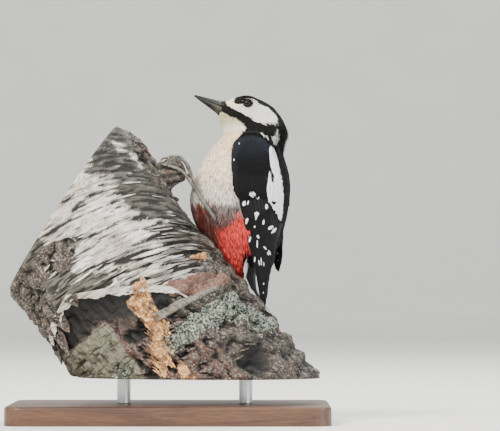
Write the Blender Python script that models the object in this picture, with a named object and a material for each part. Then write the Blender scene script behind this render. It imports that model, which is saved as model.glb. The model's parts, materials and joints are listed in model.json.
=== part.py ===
"""Great spotted woodpecker, life size, clinging to a short cut length of birch trunk on a display stand.

Units here are millimetres until a mesh is made, +Z up. The origin is the centre of the stand's underside.
The bird is worked out upright and square to the X-Z plane, bill towards -X and its left side towards -Y,
then turned a little about a vertical axis, with the head tilted to one side.
"""

import math

import bmesh
import bpy
import numpy as np
from mathutils import Matrix, Vector
from mathutils.bvhtree import BVHTree

TO_METRES = 0.001
CUT = 0.35  # the thin gap between neighbouring pieces

# ---------------------------------------------------------------- pose of the bird
TURN_X, BIRD_Y = 55.0, 10.0  # the vertical axis the bird turns about
BODY_TURN, HEAD_TURN = 15.0, 5.0  # degrees, tail end towards -Y
HEAD_TILT = 18.0  # degrees, crown away from -Y, about the bill's axis
BILL_BASE = Vector((38.5, 0.0, 232.2))
BILL_TIP = Vector((17.6, 0.0, 242.4))

# Sections from the bill back to the undertail: the dorsal and ventral point of the outline (x, z),
# the half width, and how far the section follows the head's pose instead of the body's.
SECTIONS = (
    ("bill base", (41.0, 237.3), (36.1, 227.3), 5.4, 1.0),
    ("lores", (46.0, 239.9), (37.0, 222.2), 9.2, 1.0),
    ("eye", (52.5, 241.5), (39.4, 217.0), 12.2, 1.0),
    ("cheek", (60.0, 241.0), (40.2, 214.2), 13.8, 1.0),
    ("crown", (69.0, 238.2), (40.0, 212.4), 14.8, 1.0),
    ("occiput", (77.5, 232.6), (39.2, 210.9), 15.4, 0.9),
    ("nape", (83.6, 224.5), (37.8, 209.0), 17.0, 0.65),
    ("neck", (86.6, 214.5), (35.0, 206.0), 20.0, 0.35),
    ("neck root", (84.0, 203.0), (30.0, 201.0), 23.4, 0.12),
    ("shoulder", (86.2, 194.0), (25.0, 194.5), 26.4, 0.0),
    ("breast", (89.0, 182.0), (19.4, 182.0), 29.0, 0.0),
    ("belly", (89.5, 168.0), (14.5, 168.0), 30.0, 0.0),
    ("lower belly", (88.0, 155.0), (15.6, 155.0), 29.0, 0.0),
    ("rump", (85.0, 143.0), (20.6, 143.0), 26.0, 0.0),
    ("vent", (80.0, 132.0), (29.0, 132.0), 21.5, 0.0),
    ("undertail", (72.0, 123.5), (37.6, 122.5), 16.5, 0.0),
    ("undertail tip", (64.0, 114.5), (46.2, 112.5), 11.0, 0.0),
    ("last covert", (58.0, 107.5), (51.8, 105.2), 5.0, 0.0),
)
FULLNESS, HEAD_FULLNESS = 2.25, 2.05  # exponent of the sections, 2 is an ellipse
RING_POINTS = 24
STEPS = 2  # rings from one section to the next
HEAD_END, NECK_END = 5.5, 8.5  # the thin cuts, counted in sections

EYE_BEHIND, EYE_ABOVE, EYE_OUT = 15.9, 9.2, 9.1  # eye's centre from the bill's base, in the head's own axes
EYE_RADIUS = 3.9

BILL_UP, BILL_DOWN, BILL_HALF = 5.5, 4.9, 4.6  # height above and below the gape line, half width, at the base

# The oval a folded wing lies on: height, centre x, half depth, half width.
WING_OVAL = (
    (215.0, 60.5, 28.0, 22.0),
    (204.0, 58.4, 30.6, 26.4),
    (195.0, 56.4, 33.0, 29.4),
    (182.0, 54.4, 37.2, 32.0),
    (168.0, 52.2, 40.0, 33.0),
    (155.0, 52.4, 38.4, 32.0),
    (143.0, 52.6, 35.4, 29.2),
    (132.0, 54.0, 31.2, 26.4),
    (120.0, 58.0, 27.0, 23.8),
    (107.0, 61.0, 22.0, 21.4),
    (95.0, 62.0, 19.0, 19.8),
    (82.0, 62.5, 17.6, 18.6),
)
# Outline of the folded wing from the wrist to the tip of the longest primary: height, and the angles
# round the oval, from the back, of its hind and front edges.
WING_OUTLINE = (
    (213.8, 70.0, 86.0),
    (212.0, 62.0, 92.0),
    (208.0, 50.0, 97.5),
    (202.0, 38.5, 98.5),
    (194.0, 30.0, 94.0),
    (182.0, 24.0, 87.6),
    (168.0, 22.0, 79.4),
    (155.0, 20.5, 75.0),
    (143.0, 21.5, 71.0),
    (132.0, 21.0, 68.0),
    (120.0, 28.0, 67.0),
    (107.0, 39.0, 64.0),
    (95.0, 42.0, 55.5),
    (84.6, 45.0, 48.0),
)
WING_OFF_BODY, WING_CLEAR = 2.8, 0.6  # least height of the wing's outer and inner faces over the body's cutter
WING_THICK, WING_TIP_THICK = 2.6, 1.1
WING_ROWS, WING_COLUMNS = 18, 7
RIGHT_WING_TOP, RIGHT_WING_SHARE = 205.0, 0.78  # the right wing is folded tighter, so its tip ends higher up
RIGHT_WING_BACK = 5.0  # and its hind edge lies this many degrees further from the back

# Tail, from its root down to the tips of the central pair: height, x of the shaft, half width, thickness,
# droop of the sides, and how far it still turns with the body.
TAIL = (
    (142.0, 72.0, 8.0, 5.0, 0.6, 1.0),
    (130.0, 67.6, 12.0, 4.8, 1.8, 1.0),
    (118.0, 63.6, 15.0, 4.2, 3.2, 1.0),
    (107.0, 61.6, 15.8, 3.4, 3.4, 0.95),
    (98.0, 62.8, 13.6, 2.4, 1.6, 0.5),
    (91.0, 66.4, 9.4, 2.0, 0.7, 0.2),
    (85.0, 70.6, 5.6, 1.6, 0.2, 0.0),
    (79.4, 75.2, 2.6, 1.2, 0.1, 0.0),
)

# ---------------------------------------------------------------- perch and stand
TRUNK_RADIUS = 68.0
LEAN = math.radians(50.33)  # the trunk's axis above the horizontal, leaning towards -X
AXIS = Vector((-math.cos(LEAN), 0.0, math.sin(LEAN)))
OUTWARD = Vector((math.sin(LEAN), 0.0, math.cos(LEAN)))
ACROSS = Vector((0.0, 1.0, 0.0))
TRUNK_START = Vector((69.0, 0.0, 84.4)) - OUTWARD * TRUNK_RADIUS
TRUNK_FOOT_Z = 33.0
TRUNK_TOP = (Vector((-40.8, 0.0, 216.8)), Vector((-0.836, 0.0, 0.549)))  # point and normal of the upper cut
STUB_UP, STUB_LENGTH = 122.0, 17.0  # broken branch stub: place up the trunk, length clear of the bark
STUB_AXIS = Vector((0.9, -0.2, 0.42)).normalized()
STUB_RADII = ((0.0, 11.5), (0.35, 10.0), (0.7, 9.2), (0.9, 8.0), (1.0, 5.0))  # by share of its length
# Where the bark is torn away on the trunk's left side: the angle from its ridge, and how far up the tear runs.
TEAR_EDGE = (
    (-178.0, 74.0), (-150.0, 84.0), (-121.0, 93.5), (-100.0, 80.0), (-80.0, 64.0), (-66.0, 50.0), (-56.0, 20.0),
)
TEAR_DEPTH, TEAR_ANGLE = 5.0, -112.0
KNUCKLE_UP, KNUCKLE_HEIGHT = 152.0, 8.0  # the swelling above the stub

BASE_SIZE = (236.0, 152.0, 14.0)
BASE_CORNER, BASE_EDGE = 12.0, 2.0
ROD_RADIUS = 5.0
ROD_X = (-34.0, 56.0)

# ---------------------------------------------------------------- legs
SHANK_RADIUS, TOE_RADIUS, TOE_END_RADIUS = 1.5, 1.25, 0.95
CLAW_LENGTH, CLAW_RADIUS = 6.2, 0.95
LEG_SIDES = 8
# The left foot hangs on the end of the broken stub and the right foot stands on the bark. Each toe goes from
# the ball of the foot through places on what it grips: how far along, the angle round it, the height off it.
LEFT_LEG = {
    "knee": (45.0, -9.0, 161.0),
    "heel": (36.3, -15.2, 146.6),
    "ball": (22.6, -12.6, 166.0),
    "inner_toe": ((19.6, 150.0, 3.8), (19.8, 75.0, 1.6), (16.0, 40.0, 3.1), (11.2, 32.0, 1.7)),
    "middle_toe": ((20.4, 180.0, 4.0), (20.8, -50.0, 1.6), (16.0, -12.0, 3.1), (10.8, -10.0, 1.7)),
    "outer_toe": ((18.0, -140.0, 4.6), (15.8, -100.0, 2.6), (12.4, -80.0, 1.9), (9.4, -68.0, 1.6)),
    "hind_toe": ((19.8, 165.0, 6.8), (17.0, 135.0, 3.8), (12.8, 110.0, 1.7)),
}
RIGHT_LEG = {
    "knee": (58.0, 33.0, 143.0),
    "heel": (38.6, 39.0, 126.0),
    "ball": (22.4, 35.4, 138.6),
    "inner_toe": ((78.0, 24.0, 1.9), (84.0, 22.0, 1.5), (90.0, 21.0, 1.5)),
    "middle_toe": ((79.0, 29.0, 1.9), (87.0, 30.0, 1.5), (95.0, 31.0, 1.5)),
    "outer_toe": ((73.0, 34.5, 2.0), (75.0, 41.0, 1.5), (76.0, 47.5, 1.5)),
    "hind_toe": ((66.0, 30.0, 2.4), (62.0, 33.0, 1.6), (58.0, 36.0, 1.5)),
}
THIGH_RADII = (8.6, 8.6, 8.4, 8.0, 7.2, 6.2, 5.0, 3.6, 2.4)

# ---------------------------------------------------------------- small tools
def clear_scene():
    for obj in list(bpy.data.objects):
        bpy.data.objects.remove(obj, do_unlink=True)


def finish(name, hex_colour, roughness, metallic=0.0):
    """A material with a colour given as in a paint chart."""
    def linear(c):
        return c / 12.92 if c <= 0.04045 else ((c + 0.055) / 1.055) ** 2.4

    rgb = [linear(int(hex_colour[i : i + 2], 16) / 255) for i in (1, 3, 5)]
    made = bpy.data.materials.new(name)
    made.use_nodes = True
    shader = made.node_tree.nodes["Principled BSDF"]
    shader.inputs["Base Color"].default_value = (*rgb, 1.0)
    shader.inputs["Roughness"].default_value = roughness
    shader.inputs["Metallic"].default_value = metallic
    return made


def solid(name, points, faces, material=None, smooth=True):
    """A mesh object from points in millimetres, with its faces turned outwards."""
    mesh = bpy.data.meshes.new(name)
    mesh.from_pydata([Vector(p) * TO_METRES for p in points], [], faces)
    work = bmesh.new()
    work.from_mesh(mesh)
    bmesh.ops.recalc_face_normals(work, faces=work.faces)
    work.to_mesh(mesh)
    work.free()
    obj = bpy.data.objects.new(name, mesh)
    bpy.context.scene.collection.objects.link(obj)
    if material:
        mesh.materials.append(material)
    if smooth:
        mesh.shade_smooth()
        mesh.set_sharp_from_angle(angle=math.radians(40))
    return obj


def helper(obj):
    """Marks a cutter, so that it is left out of the model."""
    obj.hide_render = True
    obj.display_type = "WIRE"
    return obj


def boolean(obj, other, operation="DIFFERENCE"):
    modifier = obj.modifiers.new(f"{operation.lower()} {other.name}", "BOOLEAN")
    modifier.operation = operation
    modifier.object = other
    modifier.solver = "EXACT"
    return obj


def spline(rows, t):
    """The row of numbers at place t on a Catmull-Rom curve through rows."""
    last = len(rows) - 1
    i = min(int(t), last - 1)
    f = t - i
    a, b, c, d = (np.array(rows[min(max(k, 0), last)], float) for k in (i - 1, i, i + 1, i + 2))
    if i == 0:
        a = 2 * b - c
    if i + 2 > last:
        d = 2 * c - b
    return 0.5 * (2 * b + (c - a) * f + (2 * a - 5 * b + 4 * c - d) * f**2 + (3 * b - a - 3 * c + d) * f**3)


def loft_faces(rings, sides):
    """Quads from ring to ring and a cap at each end."""
    faces = [tuple(range(sides)), tuple(range((rings - 1) * sides, rings * sides))]
    for r in range(rings - 1):
        for k in range(sides):
            m = (k + 1) % sides
            faces.append((r * sides + k, r * sides + m, (r + 1) * sides + m, (r + 1) * sides + k))
    return faces


def shell_faces(rows, columns):
    """Faces of a thin plate given as an outer grid followed by an inner grid, with its rim."""
    inner = rows * columns
    faces = []
    for r in range(rows - 1):
        for c in range(columns - 1):
            a = r * columns + c
            quad = (a, a + 1, a + columns + 1, a + columns)
            faces.append(quad)
            faces.append(tuple(inner + v for v in reversed(quad)))
    border = [c for c in range(columns)]
    border += [r * columns + columns - 1 for r in range(1, rows)]
    border += [(rows - 1) * columns + c for c in range(columns - 2, -1, -1)]
    border += [r * columns for r in range(rows - 2, 0, -1)]
    for k, v in enumerate(border):
        w = border[(k + 1) % len(border)]
        faces.append((v, w, inner + w, inner + v))
    return faces


def tube(path, radii, sides=LEG_SIDES, grow=0.0):
    """Points and faces of a round limb along a path, grown outwards for a cutter."""
    path = [Vector(p) for p in path]
    path[0] += (path[0] - path[1]).normalized() * grow
    path[-1] += (path[-1] - path[-2]).normalized() * grow
    radii = [r + grow for r in radii]
    points = []
    across = Vector((0.0, 1.0, 0.0))
    for i, (p, r) in enumerate(zip(path, radii)):
        ahead = (path[min(i + 1, len(path) - 1)] - path[max(i - 1, 0)]).normalized()
        across = (across - ahead * across.dot(ahead)).normalized()
        other = ahead.cross(across)
        for k in range(sides):
            angle = 2 * math.pi * k / sides
            points.append(p + (across * math.cos(angle) + other * math.sin(angle)) * r)
    return points, loft_faces(len(path), sides)


def smooth_path(points, count):
    """A smooth route of count points through the given ones."""
    rows = [tuple(p) for p in points]
    return [Vector(spline(rows, t)) for t in np.linspace(0, len(rows) - 1, count)]


# ---------------------------------------------------------------- the bird's pose
def turned(point, degrees):
    pivot = Vector((TURN_X, 0.0, 0.0))
    return Matrix.Rotation(-math.radians(degrees), 3, "Z") @ (Vector(point) - pivot) + pivot


def placed(point, head_share=0.0, turn_share=1.0):
    """A point of the square bird in its pose: head share 1 goes with the head, 0 with the body."""
    axis = (BILL_BASE - BILL_TIP).normalized()
    tilt = Matrix.Rotation(-math.radians(HEAD_TILT * head_share), 3, axis)
    tilted = tilt @ (Vector(point) - BILL_BASE) + BILL_BASE
    moved = turned(tilted, (BODY_TURN + (HEAD_TURN - BODY_TURN) * head_share) * turn_share)
    return moved + Vector((0.0, BIRD_Y, 0.0))


def body_ring(t, grow=0.0):
    """One section of head, neck and trunk, grown outwards for a cutter."""
    rows = [(*dorsal, *ventral, width, share) for _, dorsal, ventral, width, share in SECTIONS]
    dx, dz, vx, vz, width, share = spline(rows, t)
    dorsal, ventral = Vector((dx, 0.0, dz)), Vector((vx, 0.0, vz))
    centre = (dorsal + ventral) / 2
    up = (dorsal - ventral).normalized()
    half = (dorsal - ventral).length / 2 + grow
    share = min(max(share, 0.0), 1.0)
    power = 2 / (FULLNESS + (HEAD_FULLNESS - FULLNESS) * share)
    ring = []
    for k in range(RING_POINTS):
        angle = 2 * math.pi * k / RING_POINTS
        c, s = math.cos(angle), math.sin(angle)
        c = math.copysign(abs(c) ** power, c)
        s = math.copysign(abs(s) ** power, s)
        point = centre + up * half * c + ACROSS * (width + grow) * s
        ring.append(placed(point, share))
    return ring


def body_piece(name, start, end, material=None, grow=0.0):
    count = max(2, round((end - start) * STEPS) + 1)
    points = [p for t in np.linspace(start, end, count) for p in body_ring(t, grow)]
    return solid(name, points, loft_faces(count, RING_POINTS), material)


# ---------------------------------------------------------------- head details
def head_point(behind, above, out):
    """A point in the head's own axes, measured from the bill's base."""
    back = (BILL_BASE - BILL_TIP).normalized()
    up = ACROSS.cross(back)
    up = up if up.z > 0 else -up
    return placed(BILL_BASE + back * behind + up * above + ACROSS * out, 1.0)


def mandible(name, side, depth, material):
    """Upper (side 1) or lower (side -1) half of the bill, a straight chisel."""
    length = (BILL_BASE - BILL_TIP).length
    points, half_turn = [], 8
    fractions = (0.0, 0.12, 0.3, 0.5, 0.7, 0.86, 0.95, 1.0)
    for t in fractions:
        slim = 1 - t
        height = depth * slim**0.92 + 0.55 * t
        width = BILL_HALF * slim**0.85 + 0.55 * t
        for k in range(half_turn + 1):
            angle = math.pi * k / half_turn
            across = math.cos(angle)
            rise = math.sin(angle) ** 0.8
            points.append(head_point(-CUT - t * length, side * (CUT / 2 + rise * height), across * width))
    return solid(name, points, loft_faces(len(fractions), half_turn + 1), material)


def eye(name, side, material):
    bpy.ops.mesh.primitive_uv_sphere_add(
        segments=16, ring_count=10, radius=EYE_RADIUS * TO_METRES,
        location=head_point(EYE_BEHIND, EYE_ABOVE, side * EYE_OUT) * TO_METRES,
    )
    ball = bpy.context.object
    ball.name = ball.data.name = name
    ball.data.materials.append(material)
    ball.data.shade_smooth()
    return ball


def eye_socket(head, side):
    bpy.ops.mesh.primitive_uv_sphere_add(
        segments=16, ring_count=10, radius=(EYE_RADIUS + CUT) * TO_METRES,
        location=head_point(EYE_BEHIND, EYE_ABOVE, side * EYE_OUT) * TO_METRES,
    )
    cutter = helper(bpy.context.object)
    cutter.name = f"socket_cutter_{'left' if side < 0 else 'right'}"
    boolean(head, cutter)


# ---------------------------------------------------------------- wings and tail
def wing(name, side, body_tree, material):
    """A folded wing as a thin curved plate lying on the trunk. side is -1 for the left wing."""
    ovals = np.array(WING_OVAL)[::-1]
    outer, inner = [], []
    for t in np.linspace(0, len(WING_OUTLINE) - 1, WING_ROWS):
        z, back, front = spline(WING_OUTLINE, t)
        if side > 0 and z < RIGHT_WING_TOP:
            z = RIGHT_WING_TOP + (z - RIGHT_WING_TOP) * RIGHT_WING_SHARE
            back += RIGHT_WING_BACK * (1 - t / (len(WING_OUTLINE) - 1))
        centre_x, deep, wide = (np.interp(z, ovals[:, 0], ovals[:, k]) for k in (1, 2, 3))
        centre = placed((centre_x, 0.0, z))
        thick = WING_THICK + (WING_TIP_THICK - WING_THICK) * (t / (len(WING_OUTLINE) - 1)) ** 1.5
        for k in np.linspace(0, 1, WING_COLUMNS):
            angle = math.radians(back + (front - back) * k)
            point = placed((centre_x + deep * math.cos(angle), side * wide * math.sin(angle), z))
            away = (point - centre).normalized()
            hit = body_tree.ray_cast((centre + away * 90) * TO_METRES, -away)[0]
            body = (hit / TO_METRES - centre).length if hit is not None else 0.0
            reach = max((point - centre).length, body + WING_OFF_BODY)
            edge = (2 * k - 1) ** 4
            outer.append(centre + away * (reach - 0.6 * edge))
            inner.append(centre + away * max(reach - thick + 0.1 * edge, body + WING_CLEAR))
    return solid(name, outer + inner, shell_faces(WING_ROWS, WING_COLUMNS), material)


def tail(body_cutter, material):
    """The stiff tail as one curved plate, its sides drooping towards the perch."""
    rows, columns = (len(TAIL) - 1) * 2 + 1, 7
    outer, inner = [], []
    for t in np.linspace(0, len(TAIL) - 1, rows):
        z, shaft, half, thick, droop, turn = spline(TAIL, t)
        for k in np.linspace(-1, 1, columns):
            x = shaft - droop * k * k
            slim = thick / 2 * (1 - 0.45 * k * k)
            outer.append(placed((x + slim, half * k, z), 0.0, turn))
            inner.append(placed((x - slim, half * k, z), 0.0, turn))
    plate = solid("tail", outer + inner, shell_faces(rows, columns), material)
    return boolean(plate, body_cutter)


# ---------------------------------------------------------------- perch
def trunk_radius(up, angle):
    """The bark's distance from the trunk's axis: swellings, the branch knuckle, and the torn hollow."""
    angle = (angle + math.pi) % (2 * math.pi) - math.pi
    degrees = math.degrees(angle)
    side = 1 - math.exp(-((angle / 0.9) ** 2))
    waves = 2.3 * math.sin(up / 31 + 1.0) * math.cos(angle - 2.2) + 2.0 * math.sin(up / 47 + 2 * angle)
    collar = 4.0 * math.exp(-(((up - STUB_UP) / 17) ** 2) - (angle / 0.32) ** 2)
    knuckle = KNUCKLE_HEIGHT * math.exp(-(((up - KNUCKLE_UP) / 20) ** 2) - (angle / 0.55) ** 2)
    edge = float(np.interp(degrees, *zip(*TEAR_EDGE)))
    torn = math.exp(-(((degrees - TEAR_ANGLE) / 42) ** 4))
    below = 1 / (1 + math.exp(-(edge - up) / 3.5))
    hollow = TEAR_DEPTH * torn * below * (0.5 + 0.5 * math.exp(-(((edge - up - 14) / 24) ** 2)))
    lip = 2.2 * torn * math.exp(-(((up - edge - 7) / 10) ** 2))
    return TRUNK_RADIUS + waves * side + collar + knuckle - hollow + lip


def on_trunk(up, degrees, lift=0.0):
    """A point on the bark, or lifted off it: how far up the trunk, and the angle from its upper ridge."""
    angle = math.radians(degrees)
    radius = trunk_radius(up, angle) + lift
    return TRUNK_START + AXIS * up + (OUTWARD * math.cos(angle) + ACROSS * math.sin(angle)) * radius


def stub_frame():
    top = (Vector((0, 0, 1)) - STUB_AXIS * STUB_AXIS.z).normalized()
    return on_trunk(STUB_UP, -4.0), top, STUB_AXIS.cross(top)


def stub_radius(along):
    share = min(max(along / STUB_LENGTH, 0.0), 1.0)
    return float(np.interp(share, *zip(*STUB_RADII)))


def on_stub(along, degrees, lift=0.0):
    """A point on the stub's bark: how far out along it, and the angle from its top, left side negative."""
    root, top, across = stub_frame()
    across = across if across.y > 0 else -across
    angle = math.radians(degrees)
    outward = top * math.cos(angle) + across * math.sin(angle)
    return root + STUB_AXIS * along + outward * (stub_radius(along) + lift)


def perch(material):
    sides, rows = 44, 22
    points = []
    for up in np.linspace(-125.0, 200.0, rows):
        for k in range(sides):
            points.append(on_trunk(up, 360.0 * k / sides))
    log = solid("perch_trunk", points, loft_faces(rows, sides), material)
    work = bmesh.new()
    work.from_mesh(log.data)
    foot = (Vector((0, 0, TRUNK_FOOT_Z)), Vector((0, 0, -1)))
    for point, normal in (foot, TRUNK_TOP):
        geometry = work.verts[:] + work.edges[:] + work.faces[:]
        cut = bmesh.ops.bisect_plane(
            work, geom=geometry, plane_co=point * TO_METRES, plane_no=normal, clear_outer=True, dist=1e-7
        )
        edges = [e for e in cut["geom_cut"] if isinstance(e, bmesh.types.BMEdge)]
        bmesh.ops.edgeloop_fill(work, edges=edges)
    bmesh.ops.recalc_face_normals(work, faces=work.faces)
    work.to_mesh(log.data)
    work.free()
    root, top, across = stub_frame()
    points, sides = [], 16
    for along in (-12.0, 0.0, 6.0, 12.0, 15.3, STUB_LENGTH):
        for k in range(sides):
            points.append(on_stub(along, 360.0 * k / sides))
    stub = helper(solid("stub_union", points, loft_faces(6, sides)))
    return boolean(log, stub, "UNION")


# ---------------------------------------------------------------- legs
def toe(grip, ball, places):
    """A toe lying on what it grips, and its claw beyond a thin cut: points and faces of both."""
    path = smooth_path([ball] + [grip(*place) for place in places], 8)
    radii = list(np.linspace(TOE_RADIUS, TOE_END_RADIUS, 8))
    ahead = (path[-1] - path[-2]).normalized()
    along, degrees, height = places[-1]
    down = (grip(along, degrees, 0.0) - grip(along, degrees, height)).normalized()
    down = (down - ahead * down.dot(ahead)).normalized()
    claw = []
    for f in np.linspace(0, 1, 6):
        drop = (height - 0.75) * f**2.0 - 0.8 * math.sin(math.pi * f)
        reach = 2 * CUT + CLAW_LENGTH * math.sin(1.2 * f) / math.sin(1.2)
        claw.append(path[-1] + ahead * reach + down * drop)
    claw_radii = [CLAW_RADIUS * (1 - 0.74 * f**1.1) for f in np.linspace(0, 1, 6)]
    return tube(path, radii), tube(claw, claw_radii, 8)


def leg(side_name, grip, plan, trunk, materials):
    """Feathered thigh, bare shank with its toes, and four claws."""
    skin, horn, feathers = materials
    knee, heel, ball = (Vector(plan[k]) for k in ("knee", "heel", "ball"))
    thigh_path = smooth_path([knee, knee.lerp(heel, 0.5), heel.lerp(knee, -0.08)], len(THIGH_RADII))
    points, faces = tube(thigh_path, THIGH_RADII, 12)
    thigh = solid(f"{side_name}_thigh", points, faces, feathers)
    points, faces = tube(thigh_path, THIGH_RADII, 12, CUT)
    thigh_cutter = helper(solid(f"{side_name}_thigh_cutter", points, faces))
    boolean(trunk, thigh_cutter)
    shank_path = smooth_path([heel, heel.lerp(ball, 0.5), ball], 6)
    points, faces = tube(shank_path, [SHANK_RADIUS] * 5 + [SHANK_RADIUS * 1.3], 12)
    shank = solid(f"{side_name}_foot", points, faces, skin)
    for toe_name, places in plan.items():
        if not toe_name.endswith("toe"):
            continue
        (points, faces), (claw_points, claw_faces) = toe(grip, ball, places)
        boolean(shank, helper(solid(f"{side_name}_{toe_name}_union", points, faces)), "UNION")
        solid(f"{side_name}_{toe_name}_claw", claw_points, claw_faces, horn)
    boolean(shank, thigh_cutter)
    return thigh


# ---------------------------------------------------------------- stand
def stand(wood, steel):
    width, depth, height = (v * TO_METRES for v in BASE_SIZE)
    bpy.ops.mesh.primitive_cube_add(size=1, location=(0, 0, height / 2))
    base = bpy.context.object
    base.name = base.data.name = "stand_base"
    base.data.transform(Matrix.Diagonal((width, depth, height, 1)))
    work = bmesh.new()
    work.from_mesh(base.data)
    upright = [e for e in work.edges if abs(e.verts[0].co.z - e.verts[1].co.z) > height / 2]
    bmesh.ops.bevel(work, geom=upright, offset=BASE_CORNER * TO_METRES, segments=5, affect="EDGES", profile=0.5)
    top = [e for e in work.edges if all(v.co.z > height / 2 * 0.99 for v in e.verts) and len(e.link_faces) == 2]
    rim = [e for e in top if any(abs(f.normal.z) < 0.5 for f in e.link_faces)]
    bmesh.ops.bevel(work, geom=rim, offset=BASE_EDGE * TO_METRES, segments=3, affect="EDGES", profile=0.5)
    work.to_mesh(base.data)
    work.free()
    base.data.materials.append(wood)
    for name, x in zip(("stand_rod_left", "stand_rod_right"), ROD_X):
        low, high = BASE_SIZE[2] + CUT, TRUNK_FOOT_Z - CUT
        bpy.ops.mesh.primitive_cylinder_add(
            vertices=28, radius=ROD_RADIUS * TO_METRES, depth=(high - low) * TO_METRES,
            location=(x * TO_METRES, 0, (low + high) / 2 * TO_METRES),
        )
        rod = bpy.context.object
        rod.name = rod.data.name = name
        rod.data.materials.append(steel)
        rod.data.shade_smooth()
        rod.data.set_sharp_from_angle(angle=math.radians(40))


# ---------------------------------------------------------------- the whole model
def main():
    clear_scene()
    black = finish("black_plumage", "#1b1d20", 0.6)
    white = finish("white_plumage", "#e2dcd4", 0.8)
    buff = finish("buff_plumage", "#dccdbf", 0.85)
    horn = finish("bill_horn", "#3d4043", 0.4)
    claw_horn = finish("claw_horn", "#3a3833", 0.4)
    iris = finish("eye", "#1c0f0c", 0.05)
    scaly = finish("leg_skin", "#7d7f78", 0.6)
    bark = finish("birch_bark", "#a8a39b", 0.85)
    wood = finish("stand_wood", "#3c2a20", 0.4)
    steel = finish("stand_steel", "#b8babd", 0.3, 1.0)

    last = len(SECTIONS) - 1
    body_cutter = helper(body_piece("body_cutter", 0.0, last, grow=CUT))
    head = body_piece("head", 0.0, HEAD_END, white)
    body_piece("neck", HEAD_END + 0.22, NECK_END, buff)
    trunk = body_piece("trunk", NECK_END + 0.06, last, buff)

    mandible("upper_bill", 1, BILL_UP, horn)
    mandible("lower_bill", -1, BILL_DOWN, horn)
    for side, name in ((-1, "left_eye"), (1, "right_eye")):
        eye(name, side, iris)
        eye_socket(head, side)

    body_tree = BVHTree.FromPolygons(
        [v.co for v in body_cutter.data.vertices], [tuple(p.vertices) for p in body_cutter.data.polygons]
    )
    wing("left_wing", -1, body_tree, black)
    wing("right_wing", 1, body_tree, black)
    tail(body_cutter, black)

    perch(bark)
    materials = (scaly, claw_horn, white)
    leg("left", on_stub, LEFT_LEG, trunk, materials)
    leg("right", on_trunk, RIGHT_LEG, trunk, materials)
    stand(wood, steel)


main()
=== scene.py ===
# %% [markdown]
# # A great spotted woodpecker on a birch trunk
# This notebook dresses a plain solid model as a museum would: the frame that is loaded first holds every
# part at its real size and place, and each cell below gives one of them its real surface. Lengths are in
# metres inside Blender, and the sizes here are written in millimetres times MM.

# %% Load the frame
import json
import math

import bmesh
import bpy
import numpy as np
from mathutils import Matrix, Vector, noise
from mathutils.bvhtree import BVHTree

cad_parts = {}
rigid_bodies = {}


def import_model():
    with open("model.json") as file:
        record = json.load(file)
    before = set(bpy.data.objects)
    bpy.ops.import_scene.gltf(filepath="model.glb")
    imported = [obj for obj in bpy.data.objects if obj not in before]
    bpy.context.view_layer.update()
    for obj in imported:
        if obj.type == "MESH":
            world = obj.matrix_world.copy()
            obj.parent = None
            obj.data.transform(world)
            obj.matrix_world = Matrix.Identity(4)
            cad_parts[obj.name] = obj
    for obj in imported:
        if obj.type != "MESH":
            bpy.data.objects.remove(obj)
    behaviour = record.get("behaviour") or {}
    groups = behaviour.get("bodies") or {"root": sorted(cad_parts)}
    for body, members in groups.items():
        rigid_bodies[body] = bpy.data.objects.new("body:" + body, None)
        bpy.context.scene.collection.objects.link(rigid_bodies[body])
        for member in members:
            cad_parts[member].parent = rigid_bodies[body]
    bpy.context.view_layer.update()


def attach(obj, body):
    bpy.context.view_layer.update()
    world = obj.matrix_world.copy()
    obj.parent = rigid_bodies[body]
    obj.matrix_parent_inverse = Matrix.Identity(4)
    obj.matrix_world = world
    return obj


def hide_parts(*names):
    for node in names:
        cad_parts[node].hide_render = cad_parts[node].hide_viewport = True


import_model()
MM = 0.001
random = np.random.default_rng(7)

# %% [markdown]
# ## Small helpers
# A colour is written as a paint chart gives it and turned to linear light by one function. A material is a
# node tree, so one helper adds a node with its settings and links, and others add the few groups of nodes
# that come back in every material: a ramp, a mix, a noise in stretched coordinates, and a bump.

# %% Helpers for colour and shader nodes
def linear(hex_colour):
    parts = [int(hex_colour[i:i + 2], 16) / 255 for i in (1, 3, 5)]
    return [*(c / 12.92 if c <= 0.04045 else ((c + 0.055) / 1.055) ** 2.4 for c in parts), 1.0]


def plug(tree, socket, value):
    """Gives a socket its value: another socket to link, a hex colour or a number."""
    if isinstance(value, bpy.types.NodeSocket):
        tree.links.new(value, socket)
    else:
        socket.default_value = linear(value) if isinstance(value, str) else value


def node(tree, kind, links=None, **settings):
    """Adds one node; links maps an input's name or number to a socket, a colour or a number."""
    made = tree.nodes.new(kind)
    for name, value in settings.items():
        setattr(made, name, value)
    for name, value in (links or {}).items():
        plug(tree, made.inputs[name], value)
    return made


def material(name, roughness, **values):
    """A new material: its tree and its shader, with the values that are the same all over."""
    made = bpy.data.materials.new(name)
    made.use_nodes = True
    shader = made.node_tree.nodes["Principled BSDF"]
    for key, value in {"Roughness": roughness, **values}.items():
        plug(made.node_tree, shader.inputs[key.replace("_", " ")], value)
    return made, made.node_tree, shader


def ramp(tree, fac, *stops):
    """A colour ramp from (place, colour) stops, where a number stands for a grey."""
    made = node(tree, "ShaderNodeValToRGB", {"Fac": fac})
    elements = made.color_ramp.elements
    while len(elements) < len(stops):
        elements.new(0.5)
    for element, (place, colour) in zip(elements, stops):
        element.position = place
        element.color = linear(colour) if isinstance(colour, str) else (colour, colour, colour, 1)
    return made.outputs["Color"]


def mix(tree, fac, first, second, blend="MIX"):
    """Mixes two colours, each a socket or a hex colour."""
    links = {0: fac, 6: first, 7: second}
    return node(tree, "ShaderNodeMix", links, data_type="RGBA", blend_type=blend).outputs[2]


PLAIN = ((0.0, 0.0), (1.0, 1.0))  # the stops that leave a pattern as it is


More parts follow.
